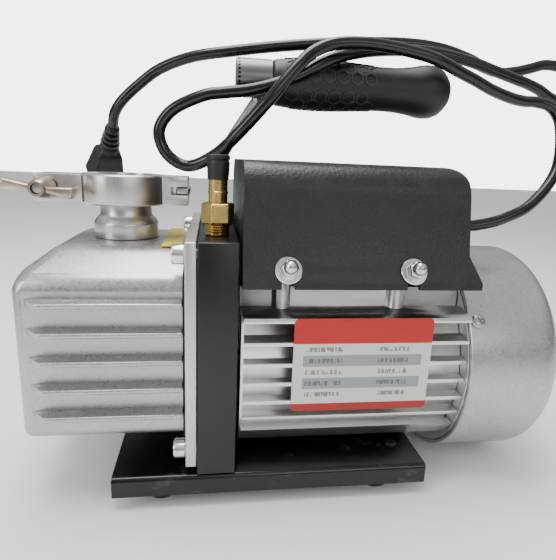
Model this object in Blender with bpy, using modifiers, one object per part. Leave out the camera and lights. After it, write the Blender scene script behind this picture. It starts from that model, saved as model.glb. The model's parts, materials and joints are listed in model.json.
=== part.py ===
"""Single-stage rotary vane vacuum pump for refrigeration service.

Metres, +Z up, +Y away from the nameplate side. The motor shaft runs along X.
The origin is on the floor, under the middle of the pump.
"""
import math

import bmesh
import bpy
from mathutils import Matrix, Vector

# ---------------------------------------------------------------- driving dimensions
GAP = 0.0003                      # clearance between pieces that touch
BASE_TOP = 0.019                  # top of the base plate above the floor
AXIS_Z = BASE_TOP + 0.048         # height of the shaft
HALF_WIDTH = 0.0619               # half width of pump block and flange plate

BASE_X = (-0.0945, 0.0735)
BASE_SHEET = 0.0020
BASE_LIP = 0.0110
BASE_BEND = 0.0025
FOOT_INSET = (0.024, 0.017)
FOOT_RADIUS = 0.009

PLATE_X = (-0.0574, -0.0519)
PLATE_BOTTOM = BASE_TOP + 0.0051
BLOCK_X = (-0.0516, -0.0320)
BLOCK_TOP = BASE_TOP + 0.1219

CASE_X = (-0.1375, -0.0588)
CASE_HALF = 0.0540
CASE_FLOOR = BASE_TOP + 0.0190
CASE_SHOULDER = BASE_TOP + 0.1014
CASE_TOP = BASE_TOP + 0.1144
CASE_FLAT = (-0.1211, 0.0320)     # left end and half width of the flat top
CASE_WALL = 0.0040
CASE_FINS = 5
CASE_FIN_PITCH = 0.0144
CASE_FIN_START = 0.0142           # lowest fin above the casing's floor
CASE_FIN_INSET = 0.0055
CASE_FIN_HALF = 0.0013
CASE_FIN_TIP = 0.0610

SHAFT_RADIUS = 0.0060
BEARING_RADIUS = 0.0160
BEARING_WIDTH = 0.0100
ROTOR_RADIUS = 0.0187
BORE_RADIUS = 0.0230
CHAMBER_X = (-0.0925, -0.0577)
CHAMBER_RISE = 0.0040             # how far the bore sits above the shaft

MOTOR_X = (-0.0290, 0.0903)
MOTOR_HALF = 0.0590
MOTOR_HALF_HEIGHT = 0.0477
MOTOR_BORE = 0.0435
MOTOR_LOW_ROUND = 0.0410
MOTOR_LAND_ANGLE = 32.0           # where the plain lower edge meets the lowest groove
MOTOR_CORE = 0.0530               # radius of the floor between the ribs
MOTOR_NECK = 0.0400               # half width of the flat top under the capacitor box
MOTOR_RIM = 0.0012
RIB_HEIGHTS = (0.0225, 0.0112, 0.0008, -0.0094, -0.0192)   # about the shaft
RIB_THICKNESS = 0.0020
LEDGE_Z = (0.0335, 0.0370)        # underside and top of the widest rib, about the shaft
LEDGE_ROUND = 0.0055
LEDGE_EDGE = 0.0012

NAMEPLATE_X = (-0.0040, 0.0690)
NAMEPLATE_Z = (AXIS_Z - 0.0140, AXIS_Z + 0.0365)
NAMEPLATE_THICK = 0.0008

FAN_COVER_X = (0.0915, 0.1475)
FAN_COVER_RADIUS = 0.0635
FAN_COVER_WALL = 0.0020
FAN_COVER_ROUND = 0.0130

BOX_X = (-0.0303, 0.0818)
BOX_HALF = 0.0570
BOX_TOP = BASE_TOP + 0.1595
BOX_BEND = BASE_TOP + 0.1165
BOX_SKIRT = BASE_TOP + 0.1034
BOX_RIM = BASE_TOP + 0.1000
BOX_SKIRT_HALF = 0.0630
BOX_WALL = 0.0022
BOX_DRAFT = 0.0010                # right end wall: set in at the top, out at the bend and rim
BOX_LEAN = 0.0030
BOX_FLARE = 0.0088
BOX_SHOULDER = 0.0140              # rounding of the long top edges
BOX_CORNER = 0.0085                # rounding of the top right edge
NUT_X = (-0.0086, 0.0542)

PORT_X = -0.0925
PORT_NECK = 0.0140
FLANGE_RADIUS = 0.0200
CLAMP_Z = BASE_TOP + 0.1410
CLAMP_HALF_HEIGHT = 0.0080
CLAMP_RADIUS = 0.0232
BOLT_X = PORT_X - 0.0390
WING_TURN = math.radians(7)        # the wing nut stands a little askew
BOLT_PIVOT_Y = 0.0070
BOLT_RADIUS = 0.0024
HINGE_X = PORT_X + 0.0310

INLET = (-0.0420, -0.0370)        # X and Y of the brass inlet
SCREW_Y = 0.0548
SCREW_Z = (BASE_TOP + 0.0120, BASE_TOP + 0.1150)

HANDLE_Z = BASE_TOP + 0.2010
HANDLE_POST = (-0.0405, 0.0160)   # X and Y of the post on the block
TUBE_X = (-0.0325, -0.0133)
TUBE_RISE = 0.0015                 # the sleeve sits a little above the middle of the grip
GRIP_X = (-0.0130, 0.0893)

CORD_RADIUS = 0.0032
GLAND = Vector((0.0840, -0.0200, BASE_TOP + 0.1275))
ROCKER = (0.0795, 0.0260, BASE_TOP + 0.1370)   # pivot of the power switch
# The flex leaves the gland, bows round the right of the pump, passes over the grip,
# droops in a bight beside the inlet, goes back over the grip and ends at the plug.
CORD_ROUTE = [
    (0.1155, -0.0206, 0.1485), (0.1240, -0.0210, 0.1513), (0.1368, -0.0200, 0.1572),
    (0.1479, -0.0170, 0.1664), (0.1557, -0.0140, 0.1762), (0.1594, -0.0115, 0.1858),
    (0.1602, -0.0090, 0.1973), (0.1582, -0.0070, 0.2087), (0.1525, -0.0050, 0.2160),
    (0.1435, -0.0042, 0.2181), (0.1350, -0.0053, 0.2180), (0.1249, -0.0070, 0.2192),
    (0.1114, -0.0100, 0.2222), (0.1001, -0.0130, 0.2257), (0.0894, -0.0155, 0.2288),
    (0.0696, -0.0180, 0.2351),
    (0.0419, -0.0170, 0.2392), (0.0199, -0.0190, 0.2382), (0.0060, -0.0220, 0.2329),
    (-0.0043, -0.0250, 0.2233), (-0.0174, -0.0260, 0.2073), (-0.0329, -0.0210, 0.1899),
    (-0.0445, -0.0130, 0.1794), (-0.0579, -0.0080, 0.1736), (-0.0692, -0.0060, 0.1794),
    (-0.0732, -0.0060, 0.1912), (-0.0660, -0.0080, 0.2020), (-0.0500, -0.0110, 0.2098),
    (-0.0386, -0.0120, 0.2119), (-0.0258, -0.0145, 0.2136), (-0.0120, -0.0168, 0.2172),
    (0.0010, -0.0165, 0.2228),
    (0.0166, -0.0130, 0.2315), (0.0421, 0.0000, 0.2397), (0.0737, 0.0060, 0.2430),
    (0.1020, 0.0072, 0.2403), (0.1232, 0.0075, 0.2352), (0.1376, 0.0080, 0.2316),
    (0.1461, 0.0090, 0.2297), (0.1546, 0.0100, 0.2269), (0.1629, 0.0110, 0.2232),
    (0.1745, 0.0130, 0.2211), (0.1836, 0.0160, 0.2256), (0.1849, 0.0180, 0.2337),
    (0.1771, 0.0200, 0.2418), (0.1638, 0.0210, 0.2440), (0.1523, 0.0210, 0.2410),
    (0.1419, 0.0200, 0.2384), (0.1313, 0.0190, 0.2371), (0.1209, 0.0190, 0.2394),
    (0.1097, 0.0190, 0.2438), (0.0900, 0.0185, 0.2482),
    (0.0657, 0.0180, 0.2492), (0.0292, 0.0180, 0.2467), (-0.0058, 0.0200, 0.2430),
    (-0.0346, 0.0220, 0.2387), (-0.0576, 0.0280, 0.2351), (-0.0760, 0.0335, 0.2284),
    (-0.0885, 0.0362, 0.2195), (-0.0985, 0.0380, 0.2105), (-0.1042, 0.0410, 0.2030),
    (-0.1068, 0.0465, 0.1955),
]


# ---------------------------------------------------------------- scene and helpers
def clear_scene():
    for old in list(bpy.data.objects):
        bpy.data.objects.remove(old, do_unlink=True)


clear_scene()
PARTS = bpy.data.collections.new("vacuum_pump")
CUTTERS = bpy.data.collections.new("cutters")
bpy.context.scene.collection.children.link(PARTS)
bpy.context.scene.collection.children.link(CUTTERS)


def material(name, colour, rough, metal):
    """A plain Principled material."""
    mat = bpy.data.materials.new(name)
    mat.use_nodes = True
    shader = mat.node_tree.nodes["Principled BSDF"]
    shader.inputs["Base Color"].default_value = (*colour, 1.0)
    shader.inputs["Roughness"].default_value = rough
    shader.inputs["Metallic"].default_value = metal
    return mat


LOOKS = {
    "grain_silver": ((0.56, 0.55, 0.53), 0.45, 0.75),
    "aluminium": ((0.72, 0.71, 0.69), 0.32, 1.0),
    "steel": ((0.55, 0.55, 0.56), 0.25, 1.0),
    "bright_steel": ((0.85, 0.85, 0.86), 0.12, 1.0),
    "nickel": ((0.62, 0.57, 0.50), 0.30, 1.0),
    "brass": ((0.62, 0.45, 0.14), 0.25, 1.0),
    "copper": ((0.72, 0.36, 0.18), 0.35, 1.0),
    "black_paint": ((0.012, 0.012, 0.013), 0.22, 0.0),
    "black_block": ((0.030, 0.028, 0.024), 0.38, 0.3),
    "black_plastic": ((0.016, 0.016, 0.017), 0.45, 0.0),
    "rubber": ((0.014, 0.014, 0.014), 0.65, 0.0),
    "iron": ((0.20, 0.20, 0.21), 0.50, 1.0),
    "label": ((0.60, 0.60, 0.58), 0.35, 0.0),
    "gasket": ((0.25, 0.24, 0.20), 0.80, 0.0),
    "glass": ((0.80, 0.86, 0.82), 0.05, 0.0),
}


def new_part(name, mesh, look):
    """Put a mesh or curve in the pump's collection with a material of its own."""
    obj = bpy.data.objects.new(name, mesh)
    PARTS.objects.link(obj)
    mesh.materials.append(material(name, *LOOKS[look]))
    return obj


def new_cutter(name, mesh):
    obj = bpy.data.objects.new(name, mesh)
    CUTTERS.objects.link(obj)
    obj.hide_render = True
    obj.display_type = "WIRE"
    return obj


def cube_between(low, high):
    """An axis-aligned block between two corners, open for editing."""
    low, high = Vector(low), Vector(high)
    bm = bmesh.new()
    bmesh.ops.create_cube(bm, size=1.0)
    bmesh.ops.scale(bm, vec=high - low, verts=bm.verts)
    bmesh.ops.translate(bm, vec=(low + high) / 2, verts=bm.verts)
    return bm


def finish_mesh(bm, name):
    mesh = bpy.data.meshes.new(name)
    bm.to_mesh(mesh)
    bm.free()
    return mesh


def block_mesh(name, low, high):
    return finish_mesh(cube_between(low, high), name)


TURN = {
    "X": Matrix.Rotation(math.pi / 2, 4, "Y"),
    "-Y": Matrix.Rotation(math.pi / 2, 4, "X"),
    "Z": Matrix.Identity(4),
}


HARD_EDGE = math.radians(35)


def rod_mesh(name, start, axis, length, radius, sides=16, end_radius=None):
    """A round bar from start along axis, an axis name or a direction."""
    if isinstance(axis, str):
        turn = TURN[axis]
    else:
        turn = Vector(axis).to_track_quat("Z", "Y").to_matrix().to_4x4()
    bm = bmesh.new()
    bmesh.ops.create_cone(
        bm, cap_ends=True, segments=sides, depth=length, radius1=radius,
        radius2=radius if end_radius is None else end_radius,
        matrix=Matrix.Translation((0, 0, length / 2)))
    bmesh.ops.transform(bm, matrix=Matrix.Translation(start) @ turn, verts=bm.verts)
    mesh = finish_mesh(bm, name)
    mesh.shade_smooth()
    mesh.set_sharp_from_angle(angle=HARD_EDGE)
    return mesh


def turned_part(name, look, profile, place, axis="Z", steps=24):
    """Turn (radius, height) points about an axis. Outer side first, from top to bottom."""
    mesh = bpy.data.meshes.new(name)
    points = [(radius, 0.0, height) for radius, height in profile]
    count = len(points)
    closed = profile[0][0] > 0.0
    edges = [(i, i + 1) for i in range(count - 1)]
    if closed:
        edges.append((count - 1, 0))
    mesh.from_pydata(points, edges, [])
    obj = new_part(name, mesh, look)
    screw = obj.modifiers.new("turn", "SCREW")
    screw.steps = steps
    screw.render_steps = steps
    screw.use_merge_vertices = True
    screw.merge_threshold = 0.00001
    obj.matrix_world = Matrix.Translation(place) @ TURN[axis]
    return obj


def boolean(obj, other, operation):
    mod = obj.modifiers.new(operation.lower(), "BOOLEAN")
    mod.operation = operation
    mod.object = other
    return mod


def cut(obj, mesh):
    """Take a shape away from a part."""
    boolean(obj, new_cutter(mesh.name, mesh), "DIFFERENCE")


def add(obj, mesh):
    """Join a shape to a part."""
    boolean(obj, new_cutter(mesh.name, mesh), "UNION")


def bevel(obj, width, segments=2, angle=30.0):
    mod = obj.modifiers.new("bevel", "BEVEL")
    mod.width = width
    mod.segments = segments
    mod.limit_method = "ANGLE"
    mod.angle_limit = math.radians(angle)
    return mod


def mirrored(name, mesh):
    """A copy of a mesh on the other side of the pump's middle plane."""
    twin = mesh.copy()
    twin.name = name
    twin.transform(Matrix.Scale(-1.0, 4, (0, 1, 0)))
    twin.flip_normals()
    return twin


def round_curve(name, points, radius):
    """A round bar or cord through the points, as a curve with filled caps."""
    curve = bpy.data.curves.new(name, "CURVE")
    curve.dimensions = "3D"
    curve.bevel_depth = radius
    curve.bevel_resolution = 2
    curve.use_fill_caps = True
    spline = curve.splines.new("POLY")
    spline.points.add(len(points) - 1)
    for point, place in zip(spline.points, points):
        point.co = (*place, 1.0)
    return curve


def curve_mesh(curve, turn=Matrix.Identity(4)):
    """A curve's solid as a closed mesh, put in place by a matrix."""
    guide = bpy.data.objects.new(curve.name, curve)
    CUTTERS.objects.link(guide)
    bpy.context.view_layer.update()
    mesh = bpy.data.meshes.new_from_object(
        guide.evaluated_get(bpy.context.evaluated_depsgraph_get()))
    bpy.data.objects.remove(guide)
    bm = bmesh.new()
    bm.from_mesh(mesh)
    bmesh.ops.remove_doubles(bm, verts=bm.verts, dist=0.00001)
    bmesh.ops.dissolve_limit(bm, angle_limit=0.001, verts=bm.verts, edges=bm.edges)
    bmesh.ops.recalc_face_normals(bm, faces=bm.faces)
    bmesh.ops.transform(bm, matrix=turn, verts=bm.verts)
    bm.to_mesh(mesh)
    bm.free()
    return mesh


# ---------------------------------------------------------------- base
def build_base():
    """Folded steel channel with open ends, and four rubber feet."""
    bm = cube_between((BASE_X[0], -HALF_WIDTH, BASE_TOP - BASE_LIP),
                      (BASE_X[1], HALF_WIDTH, BASE_TOP))
    open_faces = [f for f in bm.faces if abs(f.normal.x) > 0.9 or f.normal.z < -0.9]
    bmesh.ops.delete(bm, geom=open_faces, context="FACES_ONLY")
    base = new_part("base_plate", finish_mesh(bm, "base_plate"), "black_paint")
    bevel(base, BASE_BEND, 3)
    shell = base.modifiers.new("sheet", "SOLIDIFY")
    shell.thickness = BASE_SHEET
    shell.offset = -1.0
    shell.use_even_offset = True
    top = BASE_TOP - BASE_SHEET - GAP
    swell, swell_z = 0.0012, 0.0014
    profile = [(0.0, top), (FOOT_RADIUS, top), (FOOT_RADIUS + swell, swell_z),
               (FOOT_RADIUS, 0.0), (0.0, 0.0)]
    number = 1
    for x in (BASE_X[0] + FOOT_INSET[0], BASE_X[1] - FOOT_INSET[0]):
        for side in (-1, 1):
            y = side * (HALF_WIDTH - FOOT_INSET[1])
            turned_part(f"rubber_foot_{number}", "rubber", profile, (x, y, 0), "Z", 16)
            number += 1


# ---------------------------------------------------------------- pump end
def hex_mesh(name, start, axis, length, across_flats):
    return rod_mesh(name, start, axis, length, across_flats / math.sqrt(3.0), 6)


def build_block():
    """The flange plate, the pump block and the four cap screws that join them."""
    plate = new_part("flange_plate", block_mesh(
        "flange_plate", (PLATE_X[0], -HALF_WIDTH, PLATE_BOTTOM),
        (PLATE_X[1], HALF_WIDTH, BLOCK_TOP)), "aluminium")
    bevel(plate, 0.0006, 2)
    block = new_part("pump_block", block_mesh(
        "pump_block", (BLOCK_X[0], -HALF_WIDTH, BASE_TOP + GAP),
        (BLOCK_X[1], HALF_WIDTH, BLOCK_TOP)), "black_block")
    bevel(block, 0.0008, 2)
    axis = (PLATE_X[0] - 0.001, 0.0, AXIS_Z)
    cut(plate, rod_mesh("plate_bore", axis, "X", 0.010, SHAFT_RADIUS + 0.0015))
    cut(block, rod_mesh("seal_bore", axis, "X", 0.030, 0.0120))
    bearing_start = (BLOCK_X[1] - BEARING_WIDTH - GAP, 0.0, AXIS_Z)
    cut(block, rod_mesh("bearing_bore", bearing_start, "X", 0.020, BEARING_RADIUS + GAP, 24))
    cut(block, rod_mesh("inlet_bore", (*INLET, BLOCK_TOP - 0.030), "Z", 0.040, 0.0045))
    shank, head_depth, socket_depth = 0.0140, 0.0060, 0.0030
    thread_radius, head_radius, socket_radius, rim = 0.0030, 0.0050, 0.0026, 0.0006
    profile = [(0.0, head_depth + shank), (thread_radius, head_depth + shank),
               (thread_radius, head_depth), (head_radius, head_depth), (head_radius, rim),
               (head_radius - rim, 0.0), (socket_radius, 0.0), (socket_radius, socket_depth),
               (0.0, socket_depth)]
    number = 1
    for z in SCREW_Z:
        for side in (-1, 1):
            y = side * SCREW_Y
            hole = rod_mesh(f"plate_hole_{number}", (PLATE_X[0] - 0.001, y, z), "X",
                            shank + 0.0015, thread_radius + 0.0004, 16)
            cut(plate, hole)
            cut(block, hole.copy())
            place = (PLATE_X[0] - GAP - head_depth, y, z)
            turned_part(f"plate_screw_{number}", "bright_steel", profile, place, "X", 14)
            number += 1


def casing_body(name):
    """The outside of the oil casing: a box whose top is drawn in on three sides."""
    bm = cube_between((CASE_X[0], -CASE_HALF, CASE_FLOOR),
                      (CASE_X[1], CASE_HALF, CASE_SHOULDER))
    top = [f for f in bm.faces if f.normal.z > 0.9]
    raised = bmesh.ops.extrude_face_region(bm, geom=top)["geom"]
    bmesh.ops.delete(bm, geom=top, context="FACES_ONLY")
    for vert in raised:
        if isinstance(vert, bmesh.types.BMVert):
            side = 1.0 if vert.co.y > 0 else -1.0
            left = vert.co.x < 0.5 * (CASE_X[0] + CASE_X[1])
            vert.co = (CASE_FLAT[0] if left else CASE_X[1], side * CASE_FLAT[1], CASE_TOP)
    bm.normal_update()
    mouth = [f for f in bm.faces if f.normal.x > 0.9]
    bmesh.ops.delete(bm, geom=mouth, context="FACES_ONLY")
    return finish_mesh(bm, name)


def fin_mesh(number):
    """One cooling fin on the near wall, with its free end cut at 45 degrees."""
    z = CASE_FLOOR + CASE_FIN_START + number * CASE_FIN_PITCH
    low = Vector((CASE_X[0] + CASE_FIN_INSET, -CASE_FIN_TIP, z - CASE_FIN_HALF))
    high = Vector((CASE_X[1], -CASE_HALF + 0.5 * CASE_WALL, z + CASE_FIN_HALF))
    bm = cube_between(low, high)
    corner = [e for e in bm.edges
              if all(v.co.x < low.x + 0.0001 and v.co.y < low.y + 0.0001 for v in e.verts)]
    bmesh.ops.bevel(bm, geom=corner, offset=CASE_FIN_TIP - CASE_HALF, segments=1,
                    affect="EDGES", profile=0.5)
    return finish_mesh(bm, f"case_fin_{number}")


SIGHT_GLASS = (0.0, BASE_TOP + 0.058)     # Y and Z on the casing's end wall
DRAIN = (0.0, BASE_TOP + 0.0300)


def build_casing():
    """The oil casing with its fins, its gasket, the sight glass and the drain plug."""
    case = new_part("oil_casing", casing_body("oil_casing"), "grain_silver")
    bevel(case, 0.0035, 3, 20)
    shell = case.modifiers.new("wall", "SOLIDIFY")
    shell.thickness = CASE_WALL
    shell.offset = -1.0
    shell.use_even_offset = True
    for number in range(CASE_FINS):
        fin = fin_mesh(number)
        add(case, fin)
        add(case, mirrored(f"case_fin_far_{number}", fin))
    cut(case, rod_mesh("port_bore", (PORT_X, 0, CASE_TOP - 0.010), "Z", 0.020, 0.0120, 28))
    start = CASE_X[0] - 0.005
    cut(case, rod_mesh("sight_bore", (start, *SIGHT_GLASS), "X", 0.015, 0.0100))
    cut(case, rod_mesh("drain_bore", (start, *DRAIN), "X", 0.015, 0.0055, 16))
    face = CASE_X[0] - GAP
    glass = [(0.0, 0.0060), (0.0094, 0.0060), (0.0094, 0.0), (0.0140, 0.0), (0.0140, -0.0035),
             (0.0130, -0.0045), (0.0085, -0.0045), (0.0085, -0.0030), (0.0, -0.0030)]
    turned_part("sight_glass", "glass", glass, (face, *SIGHT_GLASS), "X", 20)
    drain = new_part("drain_plug", hex_mesh(
        "drain_plug", (face - 0.0040, *DRAIN), "X", 0.0040, 0.0140), "brass")
    add(drain, rod_mesh("drain_thread", (face - 0.001, *DRAIN), "X", 0.0080, 0.0051, 16))
    thick, rim = 0.0008, 0.0050
    seal_x = PLATE_X[0] - GAP - thick
    gasket = new_part("casing_gasket", block_mesh(
        "casing_gasket", (seal_x, -CASE_HALF, CASE_FLOOR),
        (seal_x + thick, CASE_HALF, CASE_SHOULDER)), "gasket")
    cut(gasket, block_mesh(
        "gasket_window", (seal_x - thick, -CASE_HALF + rim, CASE_FLOOR + rim),
        (seal_x + 2 * thick, CASE_HALF - rim, CASE_SHOULDER - rim)))


def build_vane_pump():
    """Chamber, end cover, slotted rotor, two vanes, the valve and the shaft seal."""
    centre_z = AXIS_Z + CHAMBER_RISE
    length = CHAMBER_X[1] - CHAMBER_X[0]
    outer = 0.0280
    ring = [(outer, length), (outer, 0.0), (BORE_RADIUS, 0.0), (BORE_RADIUS, length)]
    turned_part("pump_chamber", "iron", ring, (CHAMBER_X[0], 0, centre_z), "X", 28)
    lid_x = CHAMBER_X[0] - GAP - 0.004
    new_part("chamber_cover", rod_mesh(
        "chamber_cover", (lid_x, 0, centre_z), "X", 0.004, outer, 28), "iron")
    valve_z = centre_z + outer + GAP
    new_part("exhaust_valve", block_mesh(
        "exhaust_valve", (CHAMBER_X[0] + 0.006, -0.006, valve_z),
        (CHAMBER_X[1] - 0.006, 0.006, valve_z + 0.0015)), "steel")
    start = CHAMBER_X[0] + GAP
    rotor_length = length - 2 * GAP
    rotor = new_part("pump_rotor", rod_mesh(
        "pump_rotor", (start, 0, AXIS_Z), "X", rotor_length, ROTOR_RADIUS, 28), "steel")
    cut(rotor, rod_mesh("rotor_bore", (start - 0.01, 0, AXIS_Z), "X", 0.06,
                        SHAFT_RADIUS + GAP))
    vane_half = 0.0020
    for number, side in ((1, 1), (2, -1)):
        slot_low = sorted((side * 0.0085, side * 0.0250))
        cut(rotor, block_mesh(
            f"vane_slot_{number}", (start - 0.01, -vane_half - GAP, AXIS_Z + slot_low[0]),
            (start + 0.05, vane_half + GAP, AXIS_Z + slot_low[1])))
        vane_low = sorted((side * 0.0088, side * 0.0184))
        new_part(f"pump_vane_{number}", block_mesh(
            f"pump_vane_{number}", (start, -vane_half, AXIS_Z + vane_low[0]),
            (start + rotor_length, vane_half, AXIS_Z + vane_low[1])), "black_plastic")
    seal = [(0.0117, 0.0060), (0.0117, 0.0), (SHAFT_RADIUS + GAP, 0.0),
            (SHAFT_RADIUS + GAP, 0.0060)]
    turned_part("shaft_seal", "rubber", seal, (BLOCK_X[0] + 0.001, 0, AXIS_Z), "X", 20)


# ---------------------------------------------------------------- drive
SHAFT_X = (-0.0915, 0.1220)
BELL_X = (0.0908, 0.1020)
FAN_X = (0.1070, 0.1210)


def build_drive():
    """Shaft, bearings, motor rotor and stator, rear end bell and cooling fan."""
    length = SHAFT_X[1] - SHAFT_X[0]
    r = SHAFT_RADIUS
    shaft = [(0.0, length), (r - 0.0008, length), (r, length - 0.0008), (r, 0.0008),
             (r - 0.0008, 0.0), (0.0, 0.0)]
    turned_part("drive_shaft", "bright_steel", shaft, (SHAFT_X[0], 0, AXIS_Z), "X", 20)
    ring = [(BEARING_RADIUS, BEARING_WIDTH), (BEARING_RADIUS, 0.0), (r + GAP, 0.0),
            (r + GAP, BEARING_WIDTH)]
    front_x = BLOCK_X[1] - BEARING_WIDTH
    rear_x = BELL_X[1] - BEARING_WIDTH
    for name, x in (("front_bearing", front_x), ("rear_bearing", rear_x)):
        turned_part(name, "bright_steel", ring, (x, 0, AXIS_Z), "X", 24)
    core = [(0.0255, 0.0600), (0.0255, 0.0), (r + GAP, 0.0), (r + GAP, 0.0600)]
    turned_part("motor_rotor", "iron", core, (0.0, 0, AXIS_Z), "X", 24)
    stack = [(0.0360, 0.0780), (0.0360, 0.0660), (MOTOR_BORE - GAP, 0.0660),
             (MOTOR_BORE - GAP, -0.0060), (0.0360, -0.0060), (0.0360, -0.0180),
             (0.0262, -0.0180), (0.0262, 0.0780)]
    turned_part("motor_stator", "copper", stack, (0.0, 0, AXIS_Z), "X", 28)
    bell_radius = FAN_COVER_RADIUS - FAN_COVER_WALL - 0.0005
    bell_length = BELL_X[1] - BELL_X[0]
    inner = rear_x - BELL_X[0] - GAP
    bell = [(bell_radius, 0.0080), (bell_radius, 0.0), (0.0100, 0.0), (0.0100, inner),
            (BEARING_RADIUS + GAP, inner), (BEARING_RADIUS + GAP, bell_length),
            (0.0230, bell_length), (0.0230, 0.0080)]
    end_bell = turned_part("rear_end_bell", "aluminium", bell, (BELL_X[0], 0, AXIS_Z), "X", 32)
    fan_length = FAN_X[1] - FAN_X[0]
    hub = [(0.0130, fan_length), (0.0130, 0.0), (r + GAP, 0.0), (r + GAP, fan_length)]
    fan = turned_part("cooling_fan", "black_plastic", hub, (FAN_X[0], 0, AXIS_Z), "X", 16)
    blades = 7
    for number in range(blades):
        blade = block_mesh(f"fan_blade_{number}", (-0.0060, -0.0010, 0.0110),
                           (0.0060, 0.0010, 0.0540))
        blade.transform(Matrix.Rotation(math.radians(28), 4, "Z"))
        turn = Matrix.Rotation(2 * math.pi * number / blades, 4, "X")
        centre = Matrix.Translation((FAN_X[0] + fan_length / 2, 0, AXIS_Z))
        blade.transform(centre @ turn)
        add(fan, blade)
    return end_bell


def low_round(angle, inset=0.0):
    """Point (y, z) on the housing's rounded lower edge, by the angle below level in degrees."""
    reach = MOTOR_LOW_ROUND - inset
    turn = math.radians(angle)
    return (MOTOR_LOW_ROUND - MOTOR_HALF - reach * math.cos(turn),
            MOTOR_LOW_ROUND - MOTOR_HALF_HEIGHT - reach * math.sin(turn))


def tip(z):
    """Where a cooling rib at this height ends."""
    below = MOTOR_LOW_ROUND - MOTOR_HALF_HEIGHT - z
    if below <= 0.0:
        return (-MOTOR_HALF, z)
    return (low_round(math.degrees(math.asin(below / MOTOR_LOW_ROUND)))[0], z)


def root(z):
    """Where the floor between the ribs lies at this height."""
    return (-math.sqrt(MOTOR_CORE ** 2 - z ** 2), z)


def housing_outline():
    """Half outline of the motor housing, near side, as (y, z) from bottom to top."""
    points = [(0.0, -MOTOR_HALF_HEIGHT)]
    points += [low_round(angle) for angle in (90, 76, 62, 47, MOTOR_LAND_ANGLE)]
    floor_low = low_round(MOTOR_LAND_ANGLE)[1]
    points.append(root(floor_low))
    for height in sorted(RIB_HEIGHTS):
        low, high = height - RIB_THICKNESS / 2, height + RIB_THICKNESS / 2
        points += [root((floor_low + low) / 2), root(low), tip(low), tip(high), root(high)]
        floor_low = high
    under, top = LEDGE_Z
    points += [root((floor_low + under) / 2), root(under), (-MOTOR_HALF, under)]
    drop = top - under - LEDGE_EDGE
    for angle in (0, 30, 60, 90):
        turn = math.radians(angle)
        points.append((-MOTOR_HALF + LEDGE_ROUND * (1 - math.cos(turn)),
                       top - drop * (1 - math.sin(turn))))
    points += [(-MOTOR_NECK, top), (-MOTOR_NECK, MOTOR_HALF_HEIGHT), (0.0, MOTOR_HALF_HEIGHT)]
    return points


def rim_outline():
    """Half outline of the plain rim that closes the ribs, a hair inside their tips."""
    under, top = LEDGE_Z
    inset = 0.0002
    return [(0.0, inset - MOTOR_HALF_HEIGHT),
            *[low_round(angle, inset) for angle in range(85, -1, -17)],
            (-MOTOR_HALF + inset, under), (-MOTOR_HALF + LEDGE_ROUND, top - inset),
            (-MOTOR_NECK + inset, top - inset), (-MOTOR_NECK + inset, MOTOR_HALF_HEIGHT - inset),
            (0.0, MOTOR_HALF_HEIGHT - inset)]


def extruded_mesh(name, outline, x_low, x_high):
    """A half outline drawn along X and mirrored."""
    curve = bpy.data.curves.new(name, "CURVE")
    curve.dimensions = "2D"
    curve.fill_mode = "BOTH"
    curve.extrude = (x_high - x_low) / 2
    spline = curve.splines.new("POLY")
    spline.points.add(len(outline) - 1)
    spline.use_cyclic_u = True
    for point, (y, z) in zip(spline.points, outline):
        point.co = (y, z, 0.0, 1.0)
    along_x = Matrix(((0, 0, 1, 0), (1, 0, 0, 0), (0, 1, 0, 0), (0, 0, 0, 1)))
    centre = Matrix.Translation(((x_low + x_high) / 2, 0, AXIS_Z))
    mesh = curve_mesh(curve, centre @ along_x)
    bm = bmesh.new()
    bm.from_mesh(mesh)
    middle = [f for f in bm.faces if all(abs(v.co.y) < 0.00001 for v in f.verts)]
    bmesh.ops.delete(bm, geom=middle, context="FACES_ONLY")
    bmesh.ops.mirror(bm, geom=bm.verts[:] + bm.edges[:] + bm.faces[:], axis="Y",
                     merge_dist=0.00001)
    bmesh.ops.recalc_face_normals(bm, faces=bm.faces)
    bm.to_mesh(mesh)
    bm.free()
    return mesh


def build_motor_housing():
    """Extruded housing with lengthways ribs, an end rim, the stator bore and four bosses."""
    housing = new_part("motor_housing", extruded_mesh(
        "motor_housing", housing_outline(), *MOTOR_X), "aluminium")
    add(housing, extruded_mesh("housing_rim", rim_outline(), MOTOR_X[0] - MOTOR_RIM,
                               MOTOR_X[0] + 0.0001))
    cut(housing, rod_mesh("stator_bore", (MOTOR_X[0] - 0.01, 0, AXIS_Z), "X", 0.15,
                          MOTOR_BORE, 36))
    number = 1
    for x in NUT_X:
        for side in (-1, 1):
            low = AXIS_Z + LEDGE_Z[1] - 0.001
            boss = rod_mesh(f"boss_{number}", (x, side * (MOTOR_NECK + 0.0005), low), "Z",
                            BOX_BEND - 0.0045 - low, 0.0050, 20)
            add(housing, boss)
            start, into = nut_axis(x, side, 0.020)
            cut(housing, rod_mesh(f"stud_hole_{number}", start, into, 0.045, 0.0031, 16))
            number += 1


def nut_axis(x, side, lift):
    """Start and inward direction of a stud square to the sloping skirt."""
    rise = BOX_BEND - BOX_SKIRT
    flare = BOX_SKIRT_HALF - BOX_HALF
    outward = Vector((0.0, side * rise, flare)).normalized()
    middle = Vector((x, side * (BOX_HALF + BOX_SKIRT_HALF) / 2, (BOX_BEND + BOX_SKIRT) / 2))
    return middle + outward * lift, -outward


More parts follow.
